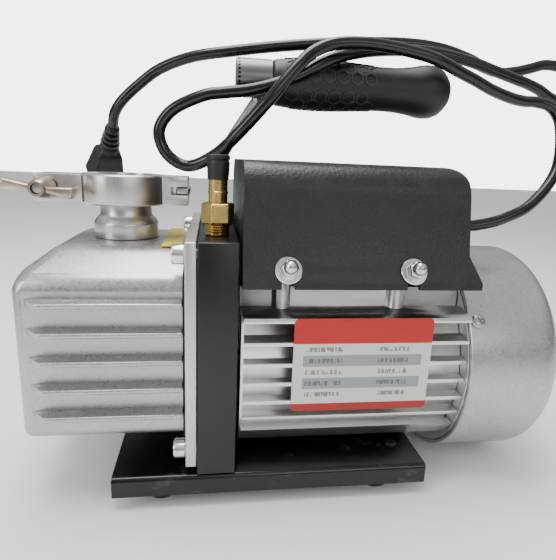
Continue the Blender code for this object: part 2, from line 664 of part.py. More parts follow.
def build_fan_cover(end_bell):
    """Round cover over the fan, with air slots in its end and three screws."""
    big = FAN_COVER_RADIUS
    inner = big - FAN_COVER_WALL
    length = FAN_COVER_X[1] - FAN_COVER_X[0]
    curve_steps = 3
    outside = []
    for step in range(curve_steps + 1):
        angle = math.radians(90 * step / curve_steps)
        outside.append((big - FAN_COVER_ROUND * (1 - math.sin(angle)),
                        length - FAN_COVER_ROUND * (1 - math.cos(angle))))
    round_in = FAN_COVER_ROUND - FAN_COVER_WALL
    inside = []
    for step in range(curve_steps + 1):
        angle = math.radians(90 * step / curve_steps)
        inside.append((inner - round_in * (1 - math.cos(angle)),
                       length - FAN_COVER_WALL - round_in * (1 - math.sin(angle))))
    profile = [(0.0, length), *outside, (big, 0.0), (inner, 0.0), *inside,
               (0.0, length - FAN_COVER_WALL)]
    cover = turned_part("fan_cover", "grain_silver", profile,
                        (FAN_COVER_X[0], 0, AXIS_Z), "X", 40)
    slots = 8
    for number in range(slots):
        slot = block_mesh(f"air_slot_{number}", (-0.020, -0.0025, 0.0180),
                          (0.020, 0.0025, 0.0460))
        turn = Matrix.Rotation(2 * math.pi * (number + 0.5) / slots, 4, "X")
        slot.transform(Matrix.Translation((FAN_COVER_X[1], 0, AXIS_Z)) @ turn)
        cut(cover, slot)
    screw_x = FAN_COVER_X[0] + 0.0045
    for number, angle in enumerate((31.0, 149.0, 270.0), start=1):
        side = -math.cos(math.radians(angle))
        rise = math.sin(math.radians(angle))
        outward = Vector((0.0, side, rise))
        foot = Vector((screw_x, 0.0, AXIS_Z)) + outward * (big - 0.0100)
        hole = rod_mesh(f"cover_hole_{number}", foot, outward, 0.030, 0.0018, 12)
        cut(cover, hole)
        cut(end_bell, hole.copy())
        seat = Vector((screw_x, 0.0, AXIS_Z)) + outward * (big + GAP)
        screw = new_part(f"fan_cover_screw_{number}", rod_mesh(
            f"fan_cover_screw_{number}", seat, outward, 0.0020, 0.0038, 20, 0.0026), "steel")
        add(screw, rod_mesh(f"cover_thread_{number}", seat - outward * 0.0080, outward,
                            0.0090, 0.0015, 12))


# ---------------------------------------------------------------- capacitor box
def quarter(centre, radius, steps=6):
    """Points of a quarter circle, from straight up to straight out."""
    across, up = centre
    return [(across + radius * math.sin(math.radians(90 * step / steps)),
             up + radius * math.cos(math.radians(90 * step / steps)))
            for step in range(steps + 1)]


def prism(outline, place, sweep):
    """An outline placed in space by one function and swept along a vector."""
    bm = bmesh.new()
    face = bm.faces.new([bm.verts.new(place(*point)) for point in outline])
    swept = bmesh.ops.extrude_face_region(bm, geom=[face])["geom"]
    moved = [v for v in swept if isinstance(v, bmesh.types.BMVert)]
    bmesh.ops.translate(bm, vec=sweep, verts=moved)
    bmesh.ops.recalc_face_normals(bm, faces=bm.faces)
    return finish_mesh(bm, "prism")


def box_outlines(inset, low):
    """Prisms of the cover's end outline and side outline, whose meeting is its form."""
    top, half = BOX_TOP - inset, BOX_HALF - inset
    shoulder, corner = BOX_SHOULDER - inset, BOX_CORNER - inset
    skirt_half, flared = BOX_SKIRT_HALF - inset, BOX_X[1] + BOX_FLARE - inset
    right = [*quarter((half - shoulder, top - shoulder), shoulder), (half, BOX_BEND),
             (skirt_half, BOX_SKIRT), (skirt_half, low)]
    ends = right + [(-across, up) for across, up in reversed(right)]
    side = [*quarter((BOX_X[1] - BOX_DRAFT - inset - corner, top - corner), corner),
            (BOX_X[1] + BOX_LEAN - inset, BOX_BEND), (flared, BOX_SKIRT), (flared, low),
            (BOX_X[0] + inset, low), (BOX_X[0] + inset, top)]
    return (prism(ends, lambda across, up: (-0.2, across, up), Vector((0.4, 0, 0))),
            prism(side, lambda along, up: (along, -0.2, up), Vector((0, 0.4, 0))))


def build_box():
    """Capacitor cover, its cap nuts, the capacitor, the switch and the cord gland."""
    ends, side = box_outlines(0.0, BOX_RIM)
    box = new_part("capacitor_cover", ends, "black_plastic")
    boolean(box, new_cutter("box_side", side), "INTERSECT")
    ends, side = box_outlines(BOX_WALL, BOX_RIM - 0.010)
    hollow = new_cutter("box_hollow", ends)
    boolean(hollow, new_cutter("box_hollow_side", side), "INTERSECT")
    boolean(box, hollow, "DIFFERENCE")
    number = 1
    for x in NUT_X:
        for side in (-1, 1):
            start, into = nut_axis(x, side, 0.010)
            cut(box, rod_mesh(f"nut_slot_{number}", start, into, 0.020, 0.0032, 16))
            edge = side * BOX_SKIRT_HALF
            cut(box, block_mesh(f"rim_notch_{number}",
                                (x - 0.0032, edge - 0.0090, BOX_RIM - 0.005),
                                (x + 0.0032, edge + 0.0090, BOX_SKIRT + 0.0060)))
            seat, into = nut_axis(x, side, GAP)
            outward = -into
            nut = new_part(f"cap_nut_{number}", rod_mesh(
                f"cap_nut_{number}", seat, outward, 0.0016, 0.0078, 20), "bright_steel")
            add(nut, hex_mesh(f"nut_hex_{number}", seat + outward * 0.0010, outward,
                              0.0045, 0.0100))
            add(nut, rod_mesh(f"nut_dome_{number}", seat + outward * 0.0050, outward,
                              0.0050, 0.0046, 12, 0.0022))
            add(nut, rod_mesh(f"nut_stud_{number}", seat - outward * 0.0220, outward,
                              0.0240, 0.0027, 12))
            number += 1
    can = [(0.0, 0.0700), (0.0150, 0.0700), (0.0165, 0.0685), (0.0165, 0.0),
           (0.0, 0.0)]
    turned_part("capacitor", "label", can, (BOX_X[0] + 0.015, 0.010, BOX_TOP - 0.026),
                       "X", 28)
    x, y, z = ROCKER
    cut(box, block_mesh("switch_window", (x - 0.020, y - 0.0105, z - 0.0070),
                        (x + 0.020, y + 0.0105, z + 0.0070)))
    rocker = new_part("rocker_switch", block_mesh(
        "rocker_switch", (x - 0.0040, y - 0.0098, z - 0.0060),
        (x + 0.0060, y + 0.0098, z + 0.0060)), "black_plastic")
    bevel(rocker, 0.0008, 2)
    gland_bore = rod_mesh("gland_bore", GLAND - Vector((0.020, 0, 0)), "X", 0.040, 0.0052, 16)
    cut(box, gland_bore)
    wall_x = GLAND.x + 0.0012
    relief = [(0.0, 0.0165), (0.0042, 0.0165), (0.0050, 0.0060), (0.0075, 0.0050),
              (0.0075, 0.0), (0.0048, 0.0), (0.0048, -0.0100), (0.0, -0.0100)]
    turned_part("strain_relief", "rubber", relief, (wall_x, GLAND.y, GLAND.z), "X", 20)


# ---------------------------------------------------------------- fittings
def build_inlet():
    """Brass inlet on the block and the rubber cap that pulls off it."""
    x, y = INLET
    base = BLOCK_TOP + GAP
    hex_low, hex_high, tip = 0.0054, 0.0158, 0.0330
    inlet = new_part("inlet_fitting", hex_mesh(
        "inlet_fitting", (x, y, base + hex_low), "Z", hex_high - hex_low, 0.0148), "brass")
    add(inlet, rod_mesh("inlet_thread", (x, y, base), "Z", 0.007, 0.0063))
    add(inlet, rod_mesh("inlet_spigot", (x, y, BLOCK_TOP - 0.010), "Z", 0.015, 0.0041))
    add(inlet, rod_mesh("inlet_tube", (x, y, base + 0.012), "Z", tip - 0.012, 0.0047))
    cut(inlet, rod_mesh("inlet_passage", (x, y, base - 0.030), "Z", 0.080, 0.0022, 12))
    low, high = 0.0270, 0.0391
    cap = [(0.0, high), (0.0050, high), (0.0058, high - 0.0006), (0.0058, high - 0.0020),
           (0.0054, high - 0.0026), (0.0058, high - 0.0040), (0.0052, low),
           (0.0047 + GAP, low), (0.0047 + GAP, tip + GAP), (0.0, tip + GAP)]
    turned_part("inlet_cap", "rubber", cap, (x, y, base), "Z", 18)


def flange_half(radius):
    """Half thickness of a clamp flange at a radius, with its 15 degree back."""
    return 0.0030 + (FLANGE_RADIUS - radius) * math.tan(math.radians(15))


def build_port():
    """Clamped port on the casing: neck, centring ring, blank flange."""
    foot = CASE_TOP + GAP
    split = 0.0006
    top = CLAMP_Z - split
    back = CLAMP_Z - flange_half(PORT_NECK)
    neck = PORT_NECK
    flare = [(neck, foot + 0.0126), (neck + 0.0006, foot + 0.0112),
             (neck + 0.0020, foot + 0.0102), (0.0164, foot + 0.0094),
             (0.0174, foot + 0.0080), (0.0174, foot)]
    profile = [(FLANGE_RADIUS, top), (FLANGE_RADIUS, CLAMP_Z - 0.0030), (neck, back), *flare,
               (0.0120, foot), (0.0120, top)]
    turned_part("port_neck", "aluminium", profile, (PORT_X, 0, 0), "Z", 28)
    ring_top, ring_low = CLAMP_Z + split - GAP, CLAMP_Z - split + GAP
    ring = [(0.0150, ring_top), (0.0150, ring_low), (0.0116, ring_low),
            (0.0116, ring_low - 0.0035), (0.0106, ring_low - 0.0035), (0.0106, ring_top)]
    turned_part("centring_ring", "rubber", ring, (PORT_X, 0, 0), "Z", 20)
    low = CLAMP_Z + split
    blank = [(0.0, CLAMP_Z + flange_half(PORT_NECK)), (neck, CLAMP_Z + flange_half(neck)),
             (FLANGE_RADIUS, CLAMP_Z + 0.0030), (FLANGE_RADIUS, low), (0.0, low)]
    turned_part("blank_flange", "aluminium", blank, (PORT_X, 0, 0), "Z", 28)


def clamp_half(name, side):
    """One half of the clamp, with its bolt lug at the left and its hinge lug at the right."""
    outer, tall = CLAMP_RADIUS, CLAMP_HALF_HEIGHT
    lip = PORT_NECK + 0.0006
    root = FLANGE_RADIUS + 0.0004
    groove_lip = flange_half(lip) + 0.0004
    groove_root = 0.0034
    edge = 0.0008
    profile = [(outer - edge, tall), (outer, tall - edge), (outer, edge - tall),
               (outer - edge, -tall), (lip, -tall), (lip, -groove_lip),
               (root, -groove_root), (root, groove_root), (lip, groove_lip), (lip, tall)]
    half = turned_part(name, "aluminium", profile, (PORT_X, 0, CLAMP_Z), "Z", 36)

    def lug(label, x_low, x_high, y_low, y_high, height):
        ends = sorted((side * y_low, side * y_high))
        return block_mesh(f"{name}_{label}", (x_low, ends[0], CLAMP_Z - height),
                          (x_high, ends[1], CLAMP_Z + height))

    bolt_lug = lug("bolt_lug", BOLT_X - 0.0055, PORT_X - 0.0205, 0.0010, 0.0120, 0.0072)
    for vert in bolt_lug.vertices:
        if vert.co.x < BOLT_X and abs(vert.co.y) > 0.0110:
            vert.co.y = side * 0.0111
    add(half, bolt_lug)
    add(half, lug("hinge_lug", PORT_X + 0.0205, HINGE_X + 0.0035, 0.0010, 0.0100, 0.0078))
    cut(half, lug("other_side", PORT_X - 0.080, PORT_X + 0.080, -0.050, 0.0010, 0.030))
    slot = BOLT_RADIUS + 0.0005
    cut(half, lug("bolt_slot", BOLT_X - 0.020, BOLT_X + 0.0060, -0.001, 0.030, slot))
    cut(half, lug("link_slot", HINGE_X - 0.0055, HINGE_X + 0.020, -0.001, 0.030, 0.0023))
    pin = rod_mesh(f"{name}_pin_hole", (HINGE_X, side * 0.0055, CLAMP_Z - 0.020), "Z", 0.040,
                   0.0017, 12)
    cut(half, pin)
    return half


def build_clamp():
    """Two clamp halves, hinge link and pins, swing bolt with its pin, and wing nut."""
    clamp_half("clamp_front", -1)
    rear = clamp_half("clamp_rear", 1)
    cut(rear, rod_mesh("bolt_pin_hole", (BOLT_X, BOLT_PIVOT_Y, CLAMP_Z - 0.020), "Z", 0.040,
                       0.0017, 12))
    link = new_part("clamp_link", block_mesh(
        "clamp_link", (HINGE_X - 0.0030, -0.0085, CLAMP_Z - 0.0020),
        (HINGE_X + 0.0045, 0.0085, CLAMP_Z + 0.0020)), "steel")
    bevel(link, 0.0010, 2)
    for number, side in ((1, -1), (2, 1)):
        place = (HINGE_X, side * 0.0055, CLAMP_Z - 0.0074)
        cut(link, rod_mesh(f"link_hole_{number}", (*place[:2], CLAMP_Z - 0.020), "Z", 0.040,
                           0.0017, 12))
        new_part(f"hinge_pin_{number}", rod_mesh(
            f"hinge_pin_{number}", place, "Z", 0.0148, 0.0014, 12), "steel")
    reach = 0.0310
    bolt = new_part("swing_bolt", rod_mesh(
        "swing_bolt", (BOLT_X, BOLT_PIVOT_Y, CLAMP_Z), "-Y", reach, BOLT_RADIUS, 20), "steel")
    add(bolt, rod_mesh("bolt_eye", (BOLT_X, BOLT_PIVOT_Y, CLAMP_Z - BOLT_RADIUS), "Z",
                       2 * BOLT_RADIUS, 0.0045, 20))
    cut(bolt, rod_mesh("bolt_eye_hole", (BOLT_X, BOLT_PIVOT_Y, CLAMP_Z - 0.020), "Z", 0.040,
                       0.0017, 12))
    new_part("swing_bolt_pin", rod_mesh(
        "swing_bolt_pin", (BOLT_X, BOLT_PIVOT_Y, CLAMP_Z - 0.0068), "Z", 0.0136, 0.0014, 12),
        "steel")
    seat = -0.0120 - GAP
    nut_length = 0.0130
    profile = [(0.0040, nut_length), (0.0062, 0.0), (BOLT_RADIUS + GAP, 0.0),
               (BOLT_RADIUS + GAP, nut_length)]
    nut = turned_part("wing_nut", "nickel", profile, (BOLT_X, seat, CLAMP_Z), "-Y", 24)
    for side in (-1, 1):
        ends = sorted((side * 0.0038, side * 0.0170))
        wing = block_mesh(f"wing_{side}", (ends[0], -0.0030, -0.0026),
                          (ends[1], 0.0030, 0.0026))
        wing.transform(Matrix.Translation((BOLT_X, seat - 0.0085, CLAMP_Z))
                       @ Matrix.Rotation(WING_TURN, 4, "Y"))
        add(nut, wing)


# ---------------------------------------------------------------- handle
def smooth_route(points, count):
    """Even points along a smooth curve through the given ones."""
    knots = [Vector(p) for p in points]
    ends = [knots[0] * 2 - knots[1], *knots, knots[-1] * 2 - knots[-2]]
    fine = []
    for a, b, c, d in zip(ends, ends[1:], ends[2:], ends[3:]):
        for step in range(12):
            t = step / 12
            fine.append(0.5 * (2 * b + (c - a) * t + (2 * a - 5 * b + 4 * c - d) * t * t
                               + (3 * b - a - 3 * c + d) * t ** 3))
    fine.append(knots[-1])
    lengths = [0.0]
    for a, b in zip(fine, fine[1:]):
        lengths.append(lengths[-1] + (b - a).length)
    even = []
    index = 0
    for step in range(count):
        target = lengths[-1] * step / (count - 1)
        while index < len(fine) - 2 and lengths[index + 1] < target:
            index += 1
        share = (target - lengths[index]) / (lengths[index + 1] - lengths[index])
        even.append(fine[index].lerp(fine[index + 1], share))
    return even


def build_handle():
    """Bent bar from a foot on the block, a tube along the pump and a rubber grip."""
    x, y = HANDLE_POST
    foot_top = BLOCK_TOP + GAP + 0.0050
    frame = new_part("handle_frame", block_mesh(
        "handle_frame", (x - 0.0100, y - 0.0120, BLOCK_TOP + GAP),
        (x + 0.0080, y + 0.0140, foot_top)), "steel")
    bevel(frame, 0.0010, 2)
    route = [(x, y, foot_top - 0.002), (x, y, BLOCK_TOP + 0.0270), (-0.0386, 0.0125, 0.1809),
             (-0.0325, 0.0100, 0.1918), (-0.0260, 0.0080, 0.2019), (-0.0205, 0.0050, 0.2105),
             (-0.0190, 0.0030, 0.2180)]
    add(frame, curve_mesh(round_curve("handle_post", route, 0.0033)))
    length = TUBE_X[1] - TUBE_X[0]
    add(frame, rod_mesh("handle_sleeve", (TUBE_X[0], 0, HANDLE_Z + TUBE_RISE), "X", length,
                        0.0100, 24))
    add(frame, rod_mesh("handle_core", (TUBE_X[0] + 0.005, 0, HANDLE_Z), "X", 0.1000,
                        0.0070, 16))
    core_end = TUBE_X[0] + 0.1050
    grip_length = GRIP_X[1] - GRIP_X[0]
    bore_depth = core_end + GAP - GRIP_X[0]
    bore = 0.0070 + GAP
    stations = [(0.0, grip_length), (0.0060, grip_length - 0.0006), (0.0105, grip_length - 0.0035),
                (0.0136, grip_length - 0.0080), (0.0145, grip_length - 0.0140),
                (0.0131, grip_length - 0.0220), (0.0118, grip_length - 0.0330),
                (0.0119, grip_length - 0.0480), (0.0129, 0.0380), (0.0133, 0.0240),
                (0.0128, 0.0100), (0.0116, 0.0)]
    profile = [*stations, (bore, 0.0), (bore, bore_depth), (0.0, bore_depth)]
    turned_part("handle_grip", "rubber", profile, (GRIP_X[0], 0, HANDLE_Z), "X", 22)


# ---------------------------------------------------------------- cord, plug and nameplate
def build_cord():
    """Power cord with its moulded plug."""
    start = GLAND + Vector((0.0012 + 0.0165 + GAP, 0.0, 0.0))
    straight = start + Vector((0.0040, 0.0, 0.0))
    points = [start, *smooth_route([straight, *CORD_ROUTE], 78)]
    new_part("power_cord", round_curve("power_cord", points, CORD_RADIUS), "rubber")
    end = Vector(CORD_ROUTE[-1])
    down = (end - Vector(CORD_ROUTE[-2])).normalized()
    neck = end + down * GAP
    plug = new_part("power_plug", rod_mesh(
        "power_plug", neck, down, 0.0200, 0.0042, 16, 0.0062), "rubber")
    body = block_mesh("plug_body", (-0.0085, -0.0115, 0.0170), (0.0085, 0.0115, 0.0400))
    frame = Matrix.Translation(neck) @ down.to_track_quat("Z", "X").to_matrix().to_4x4()
    body.transform(frame)
    add(plug, body)
    for number, across in ((1, -0.0063), (2, 0.0063)):
        blade = block_mesh(f"plug_blade_{number}", (-0.0031, across - 0.0008, 0.0390),
                           (0.0031, across + 0.0008, 0.0560))
        blade.transform(frame)
        add(plug, blade)


def build_nameplate():
    plate_y = -MOTOR_HALF - GAP
    new_part("nameplate", block_mesh(
        "nameplate", (NAMEPLATE_X[0], plate_y - NAMEPLATE_THICK, NAMEPLATE_Z[0]),
        (NAMEPLATE_X[1], plate_y, NAMEPLATE_Z[1])), "label")


build_base()
build_block()
build_casing()
build_vane_pump()
END_BELL = build_drive()
build_motor_housing()
build_fan_cover(END_BELL)
build_box()
build_inlet()
build_port()
build_clamp()
build_handle()
build_cord()
build_nameplate()
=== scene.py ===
"""Surfaces and finish of the rotary vane vacuum pump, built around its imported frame.

Metres, +Z up, the shaft runs along X and the nameplate side faces -Y.
"""
import json
import math

import bmesh
import bpy
from mathutils import Matrix, Vector

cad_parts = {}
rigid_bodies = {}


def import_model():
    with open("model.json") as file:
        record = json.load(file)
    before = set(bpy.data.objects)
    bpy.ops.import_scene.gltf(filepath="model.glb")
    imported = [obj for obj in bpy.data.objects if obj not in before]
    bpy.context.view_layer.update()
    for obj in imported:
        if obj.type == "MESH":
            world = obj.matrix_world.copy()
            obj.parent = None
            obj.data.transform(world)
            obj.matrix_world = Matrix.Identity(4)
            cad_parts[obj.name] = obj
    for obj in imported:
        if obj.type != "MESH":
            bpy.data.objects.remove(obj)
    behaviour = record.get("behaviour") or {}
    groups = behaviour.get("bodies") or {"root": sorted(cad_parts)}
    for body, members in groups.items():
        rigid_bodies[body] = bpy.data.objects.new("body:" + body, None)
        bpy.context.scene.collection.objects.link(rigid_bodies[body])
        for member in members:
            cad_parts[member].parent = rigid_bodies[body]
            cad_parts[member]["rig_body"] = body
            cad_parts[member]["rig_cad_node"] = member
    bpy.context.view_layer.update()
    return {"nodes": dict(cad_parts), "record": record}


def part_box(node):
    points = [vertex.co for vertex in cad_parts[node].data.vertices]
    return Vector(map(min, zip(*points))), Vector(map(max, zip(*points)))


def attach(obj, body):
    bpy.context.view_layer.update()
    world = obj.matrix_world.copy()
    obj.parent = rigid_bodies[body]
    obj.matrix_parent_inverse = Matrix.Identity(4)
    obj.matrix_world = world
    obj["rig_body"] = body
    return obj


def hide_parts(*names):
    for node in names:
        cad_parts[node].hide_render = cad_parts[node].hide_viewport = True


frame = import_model()
NODES = frame["nodes"]
BODY_OF = {node: body for body, nodes in frame["record"]["behaviour"]["bodies"].items()
           for node in nodes}
GAP = 0.0003


# ---------------------------------------------------------------- camera, lights, floor
def make_camera():
    yaw, pitch, roll = (math.radians(angle) for angle in (8.31, 14.03, -2.46))
    forward = Vector((math.sin(yaw) * math.cos(pitch), math.cos(yaw) * math.cos(pitch),
                      -math.sin(pitch)))
    level = Vector((math.cos(yaw), -math.sin(yaw), 0.0))
    below = forward.cross(level)
    right = math.cos(roll) * level + math.sin(roll) * below
    down = -math.sin(roll) * level + math.cos(roll) * below
    camera = bpy.data.objects.new("camera", bpy.data.cameras.new("camera"))
    bpy.context.scene.collection.objects.link(camera)
    camera.data.lens = 30.84
    camera.data.clip_start = 0.01
    turn = Matrix((right, -down, -forward)).transposed().to_4x4()
    camera.matrix_world = Matrix.Translation((-0.0456, -0.2806, 0.1788)) @ turn
    bpy.context.scene.camera = camera


def area_light(name, place, target, width, height, power, colour):
    light = bpy.data.objects.new(name, bpy.data.lights.new(name, "AREA"))
    bpy.context.scene.collection.objects.link(light)
    light.data.shape = "RECTANGLE"
    light.data.size = width
    light.data.size_y = height
    light.data.energy = power
    light.data.color = colour
    light.location = place
    light.rotation_euler = (Vector(target) - Vector(place)).to_track_quat("-Z", "Y").to_euler()


def make_studio():
    area_light("top_light", (-0.10, 0.05, 0.95), (0, 0, 0.1), 0.9, 0.45, 12.0, (1.0, 0.99, 0.97))
    area_light("left_light", (-0.95, -0.55, 0.55), (0, 0, 0.1), 0.30, 0.7, 5.0, (0.93, 0.97, 1.0))
    area_light("front_light", (0.35, -1.1, 0.50), (0, 0, 0.1), 0.7, 0.35, 2.2, (1.0, 0.95, 0.88))
    world = bpy.data.worlds.new("studio")
    bpy.context.scene.world = world
    world.use_nodes = True
    sky = Graph(world.node_tree)
    place = sky.node("ShaderNodeTexCoord", {}, {}, "Generated")
    height = sky.node("ShaderNodeSeparateXYZ", {}, {"Vector": place}, "Z")
    dark, light = (0.48, (0.05, 0.045, 0.04)), (0.80, (0.85, 0.87, 0.88))
    tone = sky.node("ShaderNodeValToRGB", {"stops": (dark, light)}, {0: height * 0.5 + 0.5})
    glow = sky.node("ShaderNodeBackground", {}, {"Color": tone, "Strength": 0.9})
    backdrop = sky.node("ShaderNodeBackground", {}, {"Color": (1.0, 1.0, 1.0), "Strength": 5.0})
    seen = sky.node("ShaderNodeLightPath", {}, {}, "Is Camera Ray")
    shade = sky.node("ShaderNodeMixShader", {}, {0: seen, 1: glow, 2: backdrop})
    plug(sky.tree.nodes["World Output"].inputs["Surface"], shade)
    bpy.ops.mesh.primitive_plane_add(size=8.0, location=(0, 0, 0))
    floor = bpy.context.object
    floor.name = "floor"
    paper = Finish("pale_floor", (0.93, 0.93, 0.92), 0.8, 0.0)
    floor.data.materials.append(paper.material)


# ---------------------------------------------------------------- shader expressions
class Sock:
    """A shader socket that can be used in arithmetic."""

    def __init__(self, graph, socket):
        self.graph, self.socket = graph, socket

    def maths(self, operation, *values):
        return self.graph.node("ShaderNodeMath", {"operation": operation},
                               dict(enumerate(values)))

    def __add__(self, other):
        return self.maths("ADD", self, other)

    __radd__ = __add__

    def __sub__(self, other):
        return self.maths("SUBTRACT", self, other)

    def __rsub__(self, other):
        return self.maths("SUBTRACT", other, self)

    def __mul__(self, other):
        return self.maths("MULTIPLY", self, other)

    __rmul__ = __mul__

    def __truediv__(self, other):
        return self.maths("DIVIDE", self, other)

    def __gt__(self, other):
        return self.maths("GREATER_THAN", self, other)

    def __lt__(self, other):
        return self.maths("LESS_THAN", self, other)

    def size(self):
        return self.maths("ABSOLUTE", self)

    def fraction(self):
        return self.maths("FRACT", self)

    def ramp(self, low, high):
        """0 below low, 1 above high, smooth between."""
        return self.graph.node("ShaderNodeMapRange", {"interpolation_type": "SMOOTHSTEP"},
                               {"Value": self, "From Min": low, "From Max": high})


def plug(slot, value):
    """Link a socket to a slot, or set the slot to a value."""
    if isinstance(value, Sock):
        value.graph.tree.links.new(value.socket, slot)
    elif slot.type == "RGBA":
        slot.default_value = (*value, 1.0)
    else:
        slot.default_value = value


class Graph:
    """A node tree, with one way to add a node to it."""

    def __init__(self, tree):
        self.tree = tree

    def node(self, kind, settings, inputs, output=0):
        """Add a node: its type, its settings, and what goes into its sockets."""
        made = self.tree.nodes.new(kind)
        for label, value in settings.items():
            if label == "stops":
                for stop, (position, colour) in zip(made.color_ramp.elements, value):
                    stop.position = position
                    stop.color = (*colour, 1.0)
            else:
                setattr(made, label, value)
        for slot, value in inputs.items():
            plug(made.inputs[slot], value)
        return Sock(self, made.outputs[output])


class Finish(Graph):
    """A surface finish: one Principled material under construction."""

    def __init__(self, name, colour, rough, metal):
        self.material = bpy.data.materials.new(name)
        self.material.use_nodes = True
        self.material.diffuse_color = (*colour, 1.0)
        super().__init__(self.material.node_tree)
        self.shader = self.tree.nodes["Principled BSDF"]
        self.set("Base Color", colour)
        self.set("Roughness", rough)
        self.set("Metallic", metal)
        self.place = self.node("ShaderNodeTexCoord", {}, {}, "Object")
        split = self.node("ShaderNodeSeparateXYZ", {}, {"Vector": self.place}).socket.node
        self.x, self.y, self.z = (Sock(self, split.outputs[axis]) for axis in "XYZ")

    def set(self, label, value):
        plug(self.shader.inputs[label], value)

    def stretched(self, by):
        """Object coordinates scaled by a vector, for drawn-out patterns."""
        return self.node("ShaderNodeMapping", {}, {"Vector": self.place, "Scale": by})

    def noise(self, scale, detail=3.0, place=None, rough=0.5):
        return self.node("ShaderNodeTexNoise", {},
                         {"Vector": place or self.place, "Scale": scale, "Detail": detail,
                          "Roughness": rough})

    def cells(self, scale, feature="F1", output="Distance"):
        return self.node("ShaderNodeTexVoronoi", {"feature": feature},
                         {"Vector": self.place, "Scale": scale}, output)

    def mixed(self, factor, first, second):
        return self.node("ShaderNodeMix", {"data_type": "RGBA"},
                         {0: factor, 6: first, 7: second}, 2)

    def bump(self, height, strength, distance):
        self.set("Normal", self.node("ShaderNodeBump", {},
                                     {"Height": height, "Strength": strength,
                                      "Distance": distance}))


# ---------------------------------------------------------------- finishes
def sparkle_paint():
    """Metallic paint with a coarse sparkle, on the casing and the fan cover."""
    made = Finish("sparkle_silver", (0.60, 0.59, 0.57), 0.4, 0.85)
    fleck = made.node("ShaderNodeSeparateColor", {}, {"Color": made.cells(1500, output="Color")})
    cloud = made.noise(60, 3)
    tone = fleck * 0.30 + cloud * 0.35
    made.set("Base Color", made.mixed(tone, (0.36, 0.355, 0.35), (0.66, 0.655, 0.64)))
    made.set("Roughness", 0.27 + 0.14 * fleck)
    made.bump(made.noise(900, 4) + fleck * 0.25, 0.20, 0.00006)
    return made.material


def drawn_metal(name, colour, rough, along, streak=0.12, metal=1.0, depth=0.00003):
    """Metal with fine lines drawn along one axis."""
    made = Finish(name, colour, rough, metal)
    lines = made.noise(1.0, 4, made.stretched(along), 0.6)
    wear = made.noise(45, 3)
    dark = tuple(part * 0.72 for part in colour)
    made.set("Base Color", made.mixed(lines * 0.5 + wear * 0.4, dark, colour))
    made.set("Roughness", rough - streak / 2 + streak * lines + 0.10 * wear)
    made.bump(lines, 0.25, depth)
    return made.material


def cast_metal(name, colour, rough, metal=1.0, grain=700, depth=0.00006):
    """Cast or tumbled metal with an uneven skin."""
    made = Finish(name, colour, rough, metal)
    skin = made.noise(grain, 4)
    stain = made.noise(70, 3)
    dark = tuple(part * 0.62 for part in colour)
    made.set("Base Color", made.mixed(stain.ramp(0.30, 0.68), dark, colour))
    made.set("Roughness", rough + 0.16 * (skin - 0.5) + 0.14 * stain)
    made.bump(skin, 0.35, depth)
    return made.material


def black_coat(name, rough, scuffs=0.0):
    """Gloss or satin black with faint dust and rubbed places."""
    made = Finish(name, (0.003, 0.003, 0.003), rough, 0.0)
    dust = made.noise(160, 4)
    rubbed = made.noise(1.0, 5, made.stretched((70, 70, 120)), 0.62).ramp(0.56, 0.78)
    light = (0.02 + scuffs * 0.16, 0.018 + scuffs * 0.15, 0.016 + scuffs * 0.13)
    made.set("Base Color", made.mixed(rubbed * (0.15 + scuffs), (0.002, 0.002, 0.002), light))
    made.set("Roughness", rough + 0.10 * dust + 0.22 * rubbed)
    made.bump(made.noise(420, 3) + dust * 0.4, 0.10, 0.00005)
    return made.material


def leather_plastic():
    """Black moulded skin with a pebbled leather grain."""
    made = Finish("pebbled_black", (0.006, 0.006, 0.007), 0.42, 0.0)
    pebbles = made.cells(760, "SMOOTH_F1")
    fine = made.noise(1300, 3)
    dust = made.noise(90, 4).ramp(0.42, 0.80)
    made.set("Base Color", made.mixed(dust * 0.5 + fine * 0.12, (0.004, 0.004, 0.005),
                                      (0.016, 0.017, 0.018)))
    made.set("Roughness", 0.33 + 0.20 * pebbles + 0.12 * dust)
    made.bump(1.0 - pebbles + fine * 0.35, 0.55, 0.00022)
    return made.material


def soft_black(name, rough, grain, tint=0.004, depth=0.00006):
    """Rubber or PVC, with a fine mould texture."""
    made = Finish(name, (tint, tint, tint), rough, 0.0)
    skin = made.noise(grain, 3)
    bloom = made.noise(120, 3).ramp(0.45, 0.8)
    pale = (tint * 2.6, tint * 2.6, tint * 2.7)
    made.set("Base Color", made.mixed(bloom * 0.6, (tint, tint, tint), pale))
    made.set("Roughness", rough + 0.12 * bloom + 0.08 * (skin - 0.5))
    made.bump(skin, 0.3, depth)
    return made.material


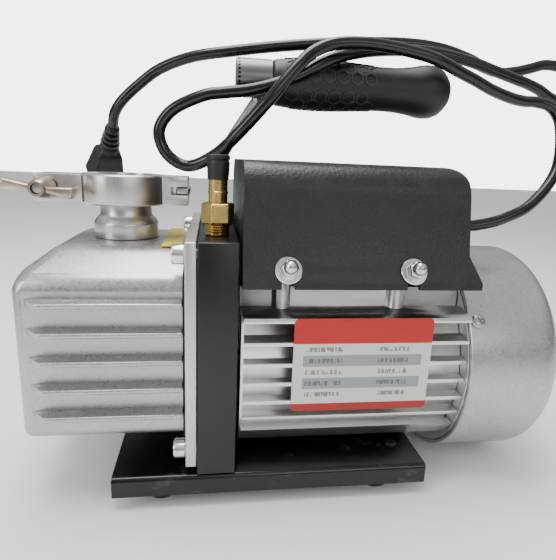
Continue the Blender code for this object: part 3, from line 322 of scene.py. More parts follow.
def plate_print():
    """Pale plate with coloured bands and grey rows, and no lettering."""
    low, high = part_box("nameplate")
    made = Finish("plate_print", (0.62, 0.62, 0.60), 0.30, 0.15)
    made.set("Coat Weight", 0.15)
    wide, tall = high.x - low.x, high.z - low.z
    across = (made.x - low.x) / wide
    up = (made.z - low.z) / tall
    header = up > 0.735
    footer = up < 0.085
    row = (up - 0.125) * 8.2
    bar = ((row * 0.5).fraction() > 0.5) * (up > 0.125) * (up < 0.70)
    bar = bar * (across > 0.07) * (across < 0.93)
    dash = made.noise(1.0, 0, made.stretched((900, 1, 150)))
    field = ((across - 0.22).size() < 0.13) + ((across - 0.72).size() < 0.11)
    inside_row = ((row.fraction() - 0.5).size() < 0.20) * (up > 0.125) * (up < 0.70)
    words = (dash > 0.46) * field * inside_row
    base = made.mixed(bar, (0.60, 0.60, 0.57), (0.26, 0.28, 0.29))
    base = made.mixed(words * 0.75, base, (0.07, 0.07, 0.08))
    base = made.mixed(header, base, (0.46, 0.001, 0.001))
    base = made.mixed(footer, base, (0.32, 0.003, 0.002))
    made.set("Base Color", base)
    made.set("Roughness", 0.26 + 0.14 * made.noise(220, 3))
    made.bump(made.noise(500, 2), 0.06, 0.00003)
    return made.material


def label_yellow():
    made = Finish("yellow_label", (0.75, 0.62, 0.02), 0.35, 0.0)
    made.set("Coat Weight", 0.5)
    worn = made.noise(140, 3).ramp(0.35, 0.75)
    # Painted shade: the label is mixed toward a darker yellow from its front edge back, by Y
    # position; the noise mix on top is wear.
    back_painted_shade = made.y.ramp(-0.024, -0.014)
    made.set("Base Color", made.mixed(back_painted_shade * 0.7 + worn * 0.15, (0.95, 0.80, 0.0),
                                      (0.36, 0.29, 0.02)))
    made.set("Roughness", 0.30 + 0.15 * worn)
    return made.material


def clear_glass():
    made = Finish("sight_window", (0.80, 0.86, 0.82), 0.06, 0.0)
    made.set("Transmission Weight", 0.85)
    made.set("Roughness", 0.05 + 0.06 * made.noise(300, 2))
    return made.material


SLEEVE_X, SLEEVE_Z = -0.0325, 0.2215
# Number of painted shade dots around the sleeve, one for each pressed dent.
SHADED_DENTS = 30


def sleeve_metal():
    """Drawn grey tube with a row of nearly black dots along its left edge, painted shade in
    pressed dents.
    """
    grey = (0.16, 0.16, 0.165)
    made = Finish("sleeve_metal", grey, 0.32, 1.0)
    lines = made.noise(1.0, 3, made.stretched((20, 900, 900)), 0.6)
    near_edge = (made.x - (SLEEVE_X + 0.0014)).size() < 0.0006
    angle = made.z.maths("ARCTAN2", made.z - SLEEVE_Z, made.y)
    # Painted shade: nearly black dots around the tube near its left edge stand for the shade in
    # the dents.
    dent_shade = ((angle * (SHADED_DENTS / (2 * math.pi))).fraction() - 0.5).size() < 0.28
    made.set("Base Color", made.mixed(near_edge * dent_shade, grey, (0.005, 0.005, 0.005)))
    made.set("Roughness", 0.26 + 0.16 * lines)
    made.bump(lines, 0.2, 0.00003)
    return made.material


LOOKS = {
    "sparkle": sparkle_paint(),
    "plate": drawn_metal("satin_plate", (0.74, 0.72, 0.69), 0.34, (60, 500, 900)),
    "turned": drawn_metal("turned_aluminium", (0.70, 0.68, 0.65), 0.27, (1100, 1100, 40), 0.18),
    "profile": drawn_metal("drawn_aluminium", (0.84, 0.84, 0.83), 0.26, (12, 900, 900), 0.16),
    "steel": drawn_metal("plain_steel", (0.50, 0.50, 0.51), 0.30, (90, 700, 700)),
    "bright": cast_metal("bright_plating", (0.80, 0.80, 0.81), 0.14, grain=300, depth=0.00002),
    "nickel": cast_metal("nickel_casting", (0.60, 0.50, 0.40), 0.26),
    "brass": cast_metal("turned_brass", (0.66, 0.48, 0.16), 0.20, grain=500, depth=0.00003),
    "iron": cast_metal("machined_iron", (0.22, 0.22, 0.23), 0.45),
    "copper": cast_metal("winding", (0.72, 0.36, 0.18), 0.40),
    "gloss": black_coat("gloss_black", 0.16, 0.35),
    "block": black_coat("satin_black", 0.30),
    "pebbled": leather_plastic(),
    "rubber": soft_black("black_rubber", 0.50, 900),
    "grip": soft_black("grip_rubber", 0.46, 1100, 0.003),
    "flex": soft_black("flex_sheath", 0.20, 500, 0.003, 0.00002),
    "plastic": soft_black("moulded_plastic", 0.36, 1400, 0.006),
    "print": plate_print(),
    "yellow": label_yellow(),
    "glass": clear_glass(),
    "honeycomb": soft_black("honeycomb_ribs", 0.50, 1100, 0.020),
    "sleeve": sleeve_metal(),
}


# ---------------------------------------------------------------- modelling helpers
SMOOTH_ANGLE = 32.0


def only(obj):
    """Leave one object selected and active."""
    if bpy.context.object and bpy.context.object.mode != "OBJECT":
        bpy.ops.object.mode_set(mode="OBJECT")
    bpy.ops.object.select_all(action="DESELECT")
    obj.select_set(True)
    bpy.context.view_layer.objects.active = obj
    return obj


def settle(obj):
    """Put the object at the origin, with its place in its mesh."""
    only(obj)
    bpy.ops.object.transform_apply(location=True, rotation=True, scale=True)
    return obj


def block(name, low, high):
    low, high = Vector(low), Vector(high)
    bpy.ops.object.select_all(action="DESELECT")
    bpy.ops.mesh.primitive_cube_add(size=1.0, location=(low + high) / 2)
    obj = bpy.context.object
    obj.name = name
    obj.scale = high - low
    return settle(obj)


def choose(obj, test, kind="FACE"):
    """In edit mode, select the faces, edges or corners that pass a test."""
    only(obj)
    bpy.ops.object.mode_set(mode="EDIT")
    bpy.ops.mesh.select_mode(type=kind)
    bpy.ops.mesh.select_all(action="DESELECT")
    shape = bmesh.from_edit_mesh(obj.data)
    parts = {"FACE": shape.faces, "EDGE": shape.edges, "VERT": shape.verts}[kind]
    for part in parts:
        if test(part):
            part.select_set(True)
    bmesh.update_edit_mesh(obj.data)


def done(obj, angle=SMOOTH_ANGLE):
    """Back to object mode with outward faces, smooth except at hard edges."""
    only(obj)
    bpy.ops.object.mode_set(mode="EDIT")
    bpy.ops.mesh.select_all(action="SELECT")
    bpy.ops.mesh.normals_make_consistent(inside=False)
    bpy.ops.object.mode_set(mode="OBJECT")
    bpy.ops.object.shade_smooth_by_angle(angle=math.radians(angle))
    return obj


def apply(obj, kind, **settings):
    """Add one modifier and apply it."""
    only(obj)
    made = obj.modifiers.new("work", kind)
    for label, value in settings.items():
        setattr(made, label, value)
    bpy.ops.object.modifier_apply(modifier=made.name)
    return obj


def round_edges(obj, width, segments, angle):
    """Bevel the edges that are sharper than an angle in degrees."""
    return apply(obj, "BEVEL", width=width, segments=segments, limit_method="ANGLE",
                 angle_limit=math.radians(angle))


def soften(obj, width, segments=3, angle=30.0):
    """Round the hard edges and smooth the rest."""
    return done(round_edges(obj, width, segments, angle))


def carve(obj, tool, operation="DIFFERENCE"):
    """Cut one shape from another, or join it on, and throw the tool away."""
    apply(obj, "BOOLEAN", object=tool, operation=operation)
    bpy.data.objects.remove(tool)
    return obj


def joined(name, pieces):
    only(pieces[0])
    for piece in pieces:
        piece.select_set(True)
    bpy.ops.object.join()
    obj = bpy.context.object
    obj.name = name
    return obj


def turned(name, profile, sides=48):
    """Turn (radius, height) points about Z. A profile that returns to its start is a ring."""
    hollow = profile[0] == profile[-1]
    radius, height = profile[0]
    bpy.ops.object.select_all(action="DESELECT")
    bpy.ops.mesh.primitive_circle_add(vertices=sides, radius=radius, location=(0, 0, height),
                                      fill_type="NOTHING" if hollow else "NGON")
    obj = bpy.context.object
    obj.name = name
    settle(obj)
    bpy.ops.object.mode_set(mode="EDIT")
    bpy.ops.mesh.select_mode(type="VERT")
    bpy.ops.mesh.select_all(action="SELECT")
    for next_radius, next_height in profile[1:]:
        bpy.ops.mesh.extrude_region_move(
            TRANSFORM_OT_translate={"value": (0, 0, next_height - height)})
        share = next_radius / radius
        bpy.ops.transform.resize(value=(share, share, 1.0), center_override=(0, 0, next_height))
        radius, height = next_radius, next_height
    if hollow:
        bpy.ops.mesh.select_all(action="SELECT")
        bpy.ops.mesh.remove_doubles(threshold=0.000005)
    return done(obj)


def aim(obj, place, direction, spin=0.0):
    """Move a shape built about Z to a place and point its Z along a direction."""
    track = Vector(direction).to_track_quat("Z", "Y").to_matrix().to_4x4()
    obj.matrix_world = (Matrix.Translation(place) @ track
                        @ Matrix.Rotation(spin, 4, "Z"))
    return settle(obj)


def stand_in(piece, look, *nodes, body=None):
    """Finish a piece: its material, the body it rides on and the nodes it stands for."""
    piece.data.materials.clear()
    piece.data.materials.append(LOOKS[look])
    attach(piece, body or BODY_OF[nodes[0]])
    if nodes:
        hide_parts(*nodes)
    return piece


def copied(obj):
    """A copy with its own mesh."""
    copy = obj.copy()
    copy.data = obj.data.copy()
    bpy.context.scene.collection.objects.link(copy)
    return copy


def refined(node, look, width):
    """A cleaned copy of a node's solid with rounded edges."""
    copy = copied(NODES[node])
    copy.name = node + "_finished"
    copy.parent = None
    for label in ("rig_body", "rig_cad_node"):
        del copy[label]
    only(copy)
    bpy.ops.object.mode_set(mode="EDIT")
    bpy.ops.mesh.select_all(action="SELECT")
    bpy.ops.mesh.remove_doubles(threshold=0.000005)
    bpy.ops.mesh.dissolve_limited(angle_limit=math.radians(0.5))
    if width > 0.0:
        round_edges(copy, width, 2, SMOOTH_ANGLE)
    only(copy)
    bpy.ops.object.shade_smooth_by_angle(angle=math.radians(SMOOTH_ANGLE))
    return stand_in(copy, look, node)


def middle(node):
    low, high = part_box(node)
    return (low + high) / 2


# ---------------------------------------------------------------- cord and plug
CORD_DIAMETER = 0.0064
GLAND = Vector((0.0840, -0.0200, 0.1465))
CORD_START = GLAND + Vector((0.0180, 0.0, 0.0))
CORD_ROUTE = [
    (0.1155, -0.0206, 0.1485), (0.1240, -0.0210, 0.1513), (0.1368, -0.0200, 0.1572),
    (0.1479, -0.0170, 0.1664), (0.1557, -0.0140, 0.1762), (0.1594, -0.0115, 0.1858),
    (0.1602, -0.0090, 0.1973), (0.1582, -0.0070, 0.2087), (0.1525, -0.0050, 0.2160),
    (0.1435, -0.0042, 0.2181), (0.1350, -0.0053, 0.2180), (0.1249, -0.0070, 0.2192),
    (0.1114, -0.0100, 0.2222), (0.1001, -0.0130, 0.2257), (0.0894, -0.0155, 0.2288),
    (0.0696, -0.0180, 0.2351), (0.0419, -0.0170, 0.2392), (0.0199, -0.0190, 0.2382),
    (0.0060, -0.0220, 0.2329), (-0.0043, -0.0250, 0.2233), (-0.0174, -0.0260, 0.2073),
    (-0.0329, -0.0210, 0.1899), (-0.0445, -0.0130, 0.1794), (-0.0579, -0.0080, 0.1736),
    (-0.0692, -0.0060, 0.1794), (-0.0732, -0.0060, 0.1912), (-0.0660, -0.0080, 0.2020),
    (-0.0500, -0.0110, 0.2098), (-0.0386, -0.0120, 0.2119), (-0.0258, -0.0145, 0.2136),
    (-0.0120, -0.0168, 0.2172), (0.0010, -0.0165, 0.2228), (0.0166, -0.0130, 0.2315),
    (0.0421, 0.0000, 0.2397), (0.0737, 0.0060, 0.2430), (0.1020, 0.0072, 0.2403),
    (0.1232, 0.0075, 0.2352), (0.1376, 0.0080, 0.2316), (0.1461, 0.0090, 0.2297),
    (0.1546, 0.0100, 0.2269), (0.1629, 0.0110, 0.2232), (0.1745, 0.0130, 0.2211),
    (0.1836, 0.0160, 0.2256), (0.1849, 0.0180, 0.2337), (0.1771, 0.0200, 0.2418),
    (0.1638, 0.0210, 0.2440), (0.1523, 0.0210, 0.2410), (0.1419, 0.0200, 0.2384),
    (0.1313, 0.0190, 0.2371), (0.1209, 0.0190, 0.2394), (0.1097, 0.0190, 0.2438),
    (0.0900, 0.0185, 0.2482), (0.0657, 0.0180, 0.2492), (0.0292, 0.0180, 0.2467),
    (-0.0058, 0.0200, 0.2430), (-0.0346, 0.0220, 0.2387), (-0.0576, 0.0280, 0.2351),
    (-0.0760, 0.0335, 0.2284), (-0.0885, 0.0362, 0.2195), (-0.0985, 0.0380, 0.2105),
    (-0.1042, 0.0410, 0.2030), (-0.1068, 0.0465, 0.1955),
]


def smooth_route(points, steps):
    """A smooth curve through the points, a few steps between each pair."""
    knots = [Vector(p) for p in points]
    ends = [knots[0] * 2 - knots[1], *knots, knots[-1] * 2 - knots[-2]]
    fine = []
    for a, b, c, d in zip(ends, ends[1:], ends[2:], ends[3:]):
        for step in range(steps):
            t = step / steps
            fine.append(0.5 * (2 * b + (c - a) * t + (2 * a - 5 * b + 4 * c - d) * t * t
                               + (3 * b - a - 3 * c + d) * t ** 3))
    return [*fine, knots[-1]]


def make_cord():
    straight = CORD_START + Vector((0.0040, 0.0, 0.0))
    points = [CORD_START, *smooth_route([straight, *CORD_ROUTE], 7)]
    curve = bpy.data.curves.new("flex", "CURVE")
    curve.dimensions = "3D"
    curve.bevel_depth = CORD_DIAMETER / 2
    curve.bevel_resolution = 5
    curve.use_fill_caps = True
    spline = curve.splines.new("POLY")
    spline.points.add(len(points) - 1)
    for point, place in zip(spline.points, points):
        point.co = (*place, 1.0)
    spline.use_smooth = True
    cord = bpy.data.objects.new("flex", curve)
    bpy.context.scene.collection.objects.link(cord)
    length = sum((b - a).length for a, b in zip(points, points[1:]))
    stand_in(cord, "flex", "power_cord")
    plug_body = make_plug()
    make_relief()


def make_relief():
    """Tapered, ringed strain relief at the box's end wall."""
    wall, tip = 0.0, 0.0165
    profile = [(0.0048, -0.0060), (0.0048, wall), (0.0075, wall), (0.0078, 0.0020),
               (0.0072, 0.0034)]
    rings = 4
    for number in range(rings):
        start = 0.0045 + number * 0.0028
        size = 0.0062 - 0.0005 * number
        profile += [(size - 0.0010, start - 0.0004), (size - 0.0010, start + 0.0004),
                    (size, start + 0.0010), (size, start + 0.0020)]
    profile += [(0.0040, tip - 0.0004), (0.0036, tip)]
    relief = turned("flex_relief", profile, 32)
    aim(relief, GLAND + Vector((0.0012, 0, 0)), (1, 0, 0))
    return stand_in(relief, "rubber", "strain_relief")


def make_plug():
    """Moulded plug: ringed neck, shouldered body and two blades."""
    end = Vector(CORD_ROUTE[-1])
    down = (end - Vector(CORD_ROUTE[-2])).normalized()
    neck = end + down * GAP
    profile = [(0.0036, 0.0), (0.0042, 0.0006)]
    for number in range(4):
        start = 0.0020 + number * 0.0034
        size = 0.0046 + 0.0005 * number
        profile += [(size, start), (size, start + 0.0016), (size - 0.0011, start + 0.0020),
                    (size - 0.0011, start + 0.0030)]
    profile += [(0.0062, 0.0162), (0.0066, 0.0190)]
    ribs = turned("plug_neck", profile, 32)
    body = block("plug_body", (-0.0085, -0.0115, 0.0170), (0.0085, 0.0115, 0.0400))
    choose(body, lambda f: f.normal.z < -0.9)
    bpy.ops.transform.resize(value=(0.72, 0.62, 1.0), center_override=(0, 0, 0.0170))
    bpy.ops.mesh.bevel(offset=0.0045, segments=4, affect="EDGES")
    done(body)
    soften(body, 0.0022, 4, 20)
    choose(body, lambda f: abs(f.normal.x) > 0.97 and f.calc_area() > 0.00008)
    bpy.ops.mesh.inset(thickness=0.0028)
    bpy.ops.transform.resize(value=(0.90, 1.0, 1.0), center_override=(0, 0, 0.03))
    done(body)
    blades = []
    for across in (-0.0063, 0.0063):
        blade = block("blade", (-0.0031, across - 0.0008, 0.0390),
                      (0.0031, across + 0.0008, 0.0560))
        soften(blade, 0.0005, 2)
        blades.append(blade)
    turn = down.to_track_quat("Z", "X").to_matrix().to_4x4()
    whole = joined("mains_plug", [ribs, body])
    whole.matrix_world = Matrix.Translation(neck) @ turn
    settle(whole)
    pins = joined("plug_blades", blades)
    pins.matrix_world = Matrix.Translation(neck) @ turn
    settle(pins)
    stand_in(whole, "rubber", "power_plug")
    stand_in(pins, "brass", body="root")
    return whole


# ---------------------------------------------------------------- oil casing
CASE_FIN = 0.0070
CASE_SHOULDER = 0.0130
CASE_WALL = 0.0040
CASE_TOP_HALF = 0.0320
CASE_LEAN = 0.0164
CASE_CORNER = 0.0052
CASE_SPARE = 0.0120
FIN_COUNT, FIRST_FIN, FIN_PITCH, FIN_INSET = 5, 0.0142, 0.0144, 0.0055


def make_casing():
    """Cast shell with its mouth to the right, and its fins on both sides."""
    low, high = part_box("oil_casing")
    half = high.y - CASE_FIN
    shoulder = high.z - CASE_SHOULDER
    mouth = high.x
    case = block("casing_shell", (low.x, -half, low.z), (mouth + CASE_SPARE, half, shoulder))
    choose(case, lambda f: f.normal.z > 0.9)
    bpy.ops.mesh.extrude_region_move(TRANSFORM_OT_translate={"value": (0, 0, CASE_SHOULDER)})
    bpy.ops.transform.resize(value=(1.0, CASE_TOP_HALF / half, 1.0),
                             center_override=(0, 0, high.z))
    choose(case, lambda v: v.co.z > shoulder + 0.001 and v.co.x < 0.5 * (low.x + mouth), "VERT")
    bpy.ops.transform.translate(value=(CASE_LEAN, 0, 0))
    done(case)
    round_edges(case, CASE_CORNER, 6, 15)
    choose(case, lambda f: True)
    bpy.ops.mesh.bisect(plane_co=(mouth, 0, 0), plane_no=(1, 0, 0), clear_outer=True)
    done(case, 40)
    apply(case, "SOLIDIFY", thickness=CASE_WALL, offset=-1.0, use_even_offset=True)
    fins = []
    for number in range(FIN_COUNT):
        z = low.z + FIRST_FIN + number * FIN_PITCH
        for side in (-1, 1):
            fins.append(case_fin(low.x + FIN_INSET, mouth, half, z, side))
    carve(case, joined("fins", fins), "UNION")
    done(case, 40)
    return stand_in(case, "sparkle", "oil_casing")


def case_fin(left, right, half, z, side):
    """A cast fin: thick at its root, thin and rounded at its tip, cut off slanting."""
    fin = block("fin", (left, -half, z - 0.0020), (right, -half + 0.0020, z + 0.0020))
    for reach, height in ((0.0008, 0.0016), (0.0040, 0.0014), (0.0016, 0.0013), (0.0006, 0.0006)):
        choose(fin, lambda f: f.normal.y < -0.9)
        edge = min(v.co.y for v in bmesh.from_edit_mesh(fin.data).verts)
        bpy.ops.mesh.extrude_region_move(TRANSFORM_OT_translate={"value": (0, -reach, 0)})
        tall = max(v.co.z for v in bmesh.from_edit_mesh(fin.data).verts if v.select) - z
        bpy.ops.transform.resize(value=(1.0, 1.0, height / tall),
                                 center_override=(0, edge - reach, z))
    choose(fin, lambda f: True)
    bpy.ops.mesh.bisect(plane_co=(left + CASE_FIN + 0.001, -half - CASE_FIN, z),
                        plane_no=(-1.0, -1.0, 0.0), clear_outer=True, use_fill=True)
    done(fin)
    soften(fin, 0.0003, 2, 40)
    if side > 0:
        fin.scale.y = -1.0
        settle(fin)
        done(fin)
    return fin


# ---------------------------------------------------------------- fan cover
def make_fan_cover():
    low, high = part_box("fan_cover")
    radius = (high.z - low.z) / 2
    axis_z = (high.z + low.z) / 2
    length = high.x - low.x
    wall, corner = 0.0020, 0.0130
    outside = [(radius, 0.0004), (radius - 0.0004, 0.0), (radius - wall, 0.0)]
    arc = [math.radians(90 * step / 10) for step in range(11)]
    inner = [(radius - wall - (corner - wall) * (1 - math.cos(a)),
              length - wall - (corner - wall) * (1 - math.sin(a))) for a in arc]
    outer = [(radius - corner * (1 - math.cos(a)), length - corner * (1 - math.sin(a)))
             for a in reversed(arc)]
    profile = [(0.002, length - wall), *reversed(inner), *reversed(outside), *reversed(outer),
               (0.002, length)]
    cover = turned("fan_shroud", profile, 96)
    aim(cover, (low.x, 0, axis_z), (1, 0, 0))
    slots = []
    for number in range(8):
        slot = block("slot", (-0.02, -0.0025, 0.0180), (0.02, 0.0025, 0.0460))
        choose(slot, lambda e: abs(e.verts[0].co.x - e.verts[1].co.x) > 0.01, "EDGE")
        bpy.ops.mesh.bevel(offset=0.0024, segments=4, affect="EDGES")
        done(slot)
        turn = Matrix.Rotation(2 * math.pi * (number + 0.5) / 8, 4, "X")
        slot.matrix_world = Matrix.Translation((high.x, 0, axis_z)) @ turn
        settle(slot)
        slots.append(slot)
    carve(cover, joined("slots", slots))
    done(cover, 30)
    return stand_in(cover, "sparkle", "fan_cover")


# ---------------------------------------------------------------- capacitor cover
COVER_WALL = 0.0022
COVER_BEND, COVER_SKIRT = 0.1355, 0.1224
COVER_HALF = 0.0570
COVER_RIGHT_TOP, COVER_RIGHT_BEND = 0.0808, 0.0848
COVER_SHOULDER, COVER_CORNER = 0.0140, 0.0085
NOTCH_TOP, NOTCH_HALF = 0.1284, 0.0032
NUT_X = (-0.0086, 0.0542)
FAR = 0.2


def is_top(edge, top):
    return all(v.co.z > top - 0.0001 for v in edge.verts)


def along(edge, axis):
    """Whether an edge runs along X, Y or Z (0, 1 or 2)."""
    step = edge.verts[1].co - edge.verts[0].co
    return abs(step[axis]) > 0.99 * step.length


def extrude_down(obj, level):
    """Extrude the underside down to a height, and leave it selected."""
    choose(obj, lambda f: f.normal.z < -0.9)
    down = level - min(v.co.z for v in bmesh.from_edit_mesh(obj.data).verts)
    bpy.ops.mesh.extrude_region_move(TRANSFORM_OT_translate={"value": (0, 0, down)})


def cover_form(name, inset, low_z):
    """Closed form of the cover: its end outline met by its side outline."""
    low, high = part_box("capacitor_cover")
    top = high.z - inset
    half, skirt_half = COVER_HALF - inset, high.y - inset
    right_top, right_bend = COVER_RIGHT_TOP - inset, COVER_RIGHT_BEND - inset
    ends = block(name, (-FAR, -half, COVER_BEND), (FAR, half, top))
    choose(ends, lambda e: is_top(e, top) and along(e, 0), "EDGE")
    bpy.ops.mesh.bevel(offset=COVER_SHOULDER - inset, segments=12, affect="EDGES")
    for level, spread in ((COVER_SKIRT, skirt_half / half), (low_z, 1.0)):
        extrude_down(ends, level)
        bpy.ops.transform.resize(value=(1.0, spread, 1.0), center_override=(0, 0, level))
    done(ends)
    side = block("side", (low.x + inset, -FAR, COVER_BEND), (right_top, FAR, top))
    choose(side, lambda e: is_top(e, top) and along(e, 1) and e.verts[0].co.x > 0, "EDGE")
    bpy.ops.mesh.bevel(offset=COVER_CORNER - inset, segments=10, affect="EDGES")
    choose(side, lambda v: v.co.z < COVER_BEND + 0.001 and v.co.x > 0, "VERT")
    bpy.ops.transform.translate(value=(right_bend - right_top, 0, 0))
    for level, out in ((COVER_SKIRT, high.x - inset - right_bend), (low_z, 0.0)):
        extrude_down(side, level)
        choose(side, lambda v, z=level: abs(v.co.z - z) < 0.0001 and v.co.x > 0, "VERT")
        bpy.ops.transform.translate(value=(out, 0, 0))
    done(side)
    return carve(ends, side, "INTERSECT")


def make_cover():
    """Cover with rounded long edges and right corner, sloping skirt and short rim."""
    low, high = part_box("capacitor_cover")
    rim = low.z
    box = cover_form("box_cover", 0.0, rim)
    carve(box, cover_form("hollow", COVER_WALL, rim - 0.0100))
    for x in NUT_X:
        for side in (-1, 1):
            edge = side * high.y
            carve(box, block("notch", (x - NOTCH_HALF, edge - 0.0090, rim - 0.005),
                             (x + NOTCH_HALF, edge + 0.0090, NOTCH_TOP)))
    low_key, high_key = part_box("rocker_switch")
    carve(box, block("window", (low_key.x - 0.02, low_key.y - 0.0007, low_key.z - 0.001),
                     (high_key.x + 0.02, high_key.y + 0.0007, high_key.z + 0.001)))
    done(box, 28)
    return stand_in(box, "pebbled", "capacitor_cover")


def make_cap_nuts():
    """Washer, hexagon and dome on each stud, square to the sloping skirt."""
    outward_y, outward_z = 0.9092, 0.4164
    dome_radius, dome_base = 0.0034, 0.0076
    places = [(x, side) for x in NUT_X for side in (-1, 1)]
    for number, (x, side) in enumerate(places, start=1):
        seat = Vector((x, side * 0.0605, 0.1278))
        outward = Vector((0.0, side * outward_y, outward_z))
        washer = turned("washer", [(0.0026, 0.0002), (0.0026, 0.0012), (0.0064, 0.0012),
                                   (0.0067, 0.0009), (0.0067, 0.0003), (0.0064, 0.0),
                                   (0.0028, 0.0), (0.0026, 0.0002)], 40)
        hexagon = turned("hexagon", [(0.0040, 0.0012), (0.0045, 0.0016), (0.0045, 0.0058),
                                     (0.0037, 0.0066)], 6)
        soften(hexagon, 0.0003, 2)
        dome = [(dome_radius, 0.0060)]
        for step in range(1, 8):
            angle = math.radians(step * 12)
            dome.append((dome_radius * math.cos(angle),
                         dome_base + dome_radius * math.sin(angle)))
        dome.append((0.0003, 0.0110))
        cap = turned("dome", dome, 32)
        stud = turned("stud", [(0.0024, -0.0200), (0.0024, 0.0020)], 20)
        whole = joined(f"acorn_nut_{number}", [washer, hexagon, cap, stud])
        aim(whole, seat + outward * GAP, outward, 0.4 * number)
        stand_in(whole, "bright", f"cap_nut_{number}")


# ---------------------------------------------------------------- handle
def hexagon_ring():
    """One flat hexagonal ring of the grip's honeycomb."""
    bpy.ops.object.select_all(action="DESELECT")
    bpy.ops.mesh.primitive_cylinder_add(vertices=6, radius=0.0040, depth=0.0011,
                                        end_fill_type="NGON")
    ring = bpy.context.object
    choose(ring, lambda f: abs(f.normal.z) > 0.9)
    bpy.ops.mesh.inset(thickness=0.0008)
    bpy.ops.mesh.bridge_edge_loops()
    return settle(ring)


def make_grip():
    """Swelling rubber grip with a raised honeycomb on its front half."""
    low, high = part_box("handle_grip")
    axis_z = (low.z + high.z) / 2
    length = high.x - low.x
    stations = [(0.0073, 0.0), (0.0108, 0.0), (0.0116, 0.0008), (0.0121, 0.0030),
                (0.0128, 0.0100), (0.0132, 0.0180), (0.0133, 0.0240), (0.0132, 0.0310),
                (0.0129, 0.0380), (0.0124, 0.0460), (0.0119, length - 0.0480),
                (0.0117, length - 0.0400), (0.0118, length - 0.0330), (0.0122, length - 0.0280),
                (0.0131, length - 0.0220), (0.0140, length - 0.0180), (0.0145, length - 0.0140),
                (0.0143, length - 0.0105), (0.0136, length - 0.0080), (0.0124, length - 0.0055),
                (0.0105, length - 0.0035), (0.0080, length - 0.0014), (0.0050, length - 0.0004),
                (0.0010, length)]
    grip = turned("hand_grip", stations, 48)
    aim(grip, (low.x, 0, axis_z), (1, 0, 0))

    def surface(x):
        """Radius of the grip at a distance from its left end."""
        for (r0, x0), (r1, x1) in zip(stations[1:], stations[2:]):
            if x0 <= x <= x1:
                return r0 + (r1 - r0) * (x - x0) / (x1 - x0)
        return stations[-1][0]

    pitch = 0.0078
    ring = hexagon_ring()
    cells = []
    for row, degrees in enumerate((88, 64, 40, 15, -33, -57, 118, 148, 172, -118, -145, -90)):
        for column in range(6):
            across = 0.0100 + pitch * (column + 0.5 * (row % 2))
            cell = copied(ring)
            for vert in cell.data.vertices:
                x, y, z = vert.co
                reach = surface(across + x) + z - 0.0001
                angle = math.radians(degrees) + y / 0.0125
                vert.co = (low.x + across + x, -reach * math.cos(angle),
                           axis_z + reach * math.sin(angle))
            cells.append(cell)
    bpy.data.objects.remove(ring)
    comb = joined("grip_honeycomb", cells)
    done(comb, 25)
    stand_in(comb, "honeycomb", body="root")
    return stand_in(grip, "grip", "handle_grip")


def make_handle_frame():
    """Metal sleeve, bent post and foot."""
    sleeve = turned("grip_sleeve", [(0.0090, 0.0), (0.0098, 0.0), (0.0101, 0.0003),
                                    (0.0101, 0.0190), (0.0098, 0.0192), (0.0090, 0.0192),
                                    (0.0090, 0.0)], 64)
    aim(sleeve, (SLEEVE_X, 0, SLEEVE_Z), (1, 0, 0))
    stand_in(sleeve, "sleeve", body="root")
    refined("handle_frame", "steel", 0.0004)


# ---------------------------------------------------------------- everything else
INLET_TURN = 38.0


def make_inlet():
    """Brass inlet: thread, hexagon and tube, with its rubber cap."""
    low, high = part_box("inlet_fitting")
    x, y = middle("inlet_cap").xy
    base = 0.1412
    threads = [(0.0022, base), (0.0060, base)]
    for number in range(4):
        start = base + 0.0004 + number * 0.0012
        threads += [(0.0056, start), (0.0063, start + 0.0005), (0.0063, start + 0.0008)]
    threads += [(0.0058, base + 0.0054)]
    profile = [*threads, (0.0060, base + 0.0150), (0.0047, base + 0.0158),
               (0.0047, base + 0.0200), (0.0050, base + 0.0204), (0.0050, base + 0.0212),
               (0.0047, base + 0.0216), (0.0047, high.z - 0.0006), (0.0042, high.z),
               (0.0022, high.z), threads[0]]
    body = turned("brass_inlet", profile, 48)
    nut = turned("inlet_hexagon", [(0.0058, base + 0.0054), (0.0074, base + 0.0054),
                                   (0.0084, base + 0.0062), (0.0084, base + 0.0150),
                                   (0.0074, base + 0.0158), (0.0058, base + 0.0158),
                                   (0.0058, base + 0.0054)], 6)
    soften(nut, 0.0003, 2)
    nut.rotation_euler.z = math.radians(INLET_TURN)
    settle(nut)
    whole = joined("brass_inlet", [body, nut])
    whole.location = (x, y, 0)
    settle(whole)
    stand_in(whole, "brass", "inlet_fitting")
    low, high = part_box("inlet_cap")
    top = high.z
    cap = turned("rubber_cap", [
        (0.0050, low.z), (0.0052, low.z), (0.0054, low.z + 0.0030), (0.0057, top - 0.0042),
        (0.0055, top - 0.0034), (0.0053, top - 0.0028), (0.0058, top - 0.0022),
        (0.0058, top - 0.0010), (0.0055, top - 0.0003), (0.0046, top), (0.0044, top - 0.0004),
        (0.0020, top - 0.0005), (0.0020, top - 0.0015), (0.0040, top - 0.0055),
        (0.0050, top - 0.0058), (0.0050, low.z)], 40)
    cap.location = (x, y, 0)
    settle(cap)
    stand_in(cap, "rubber", "inlet_cap")


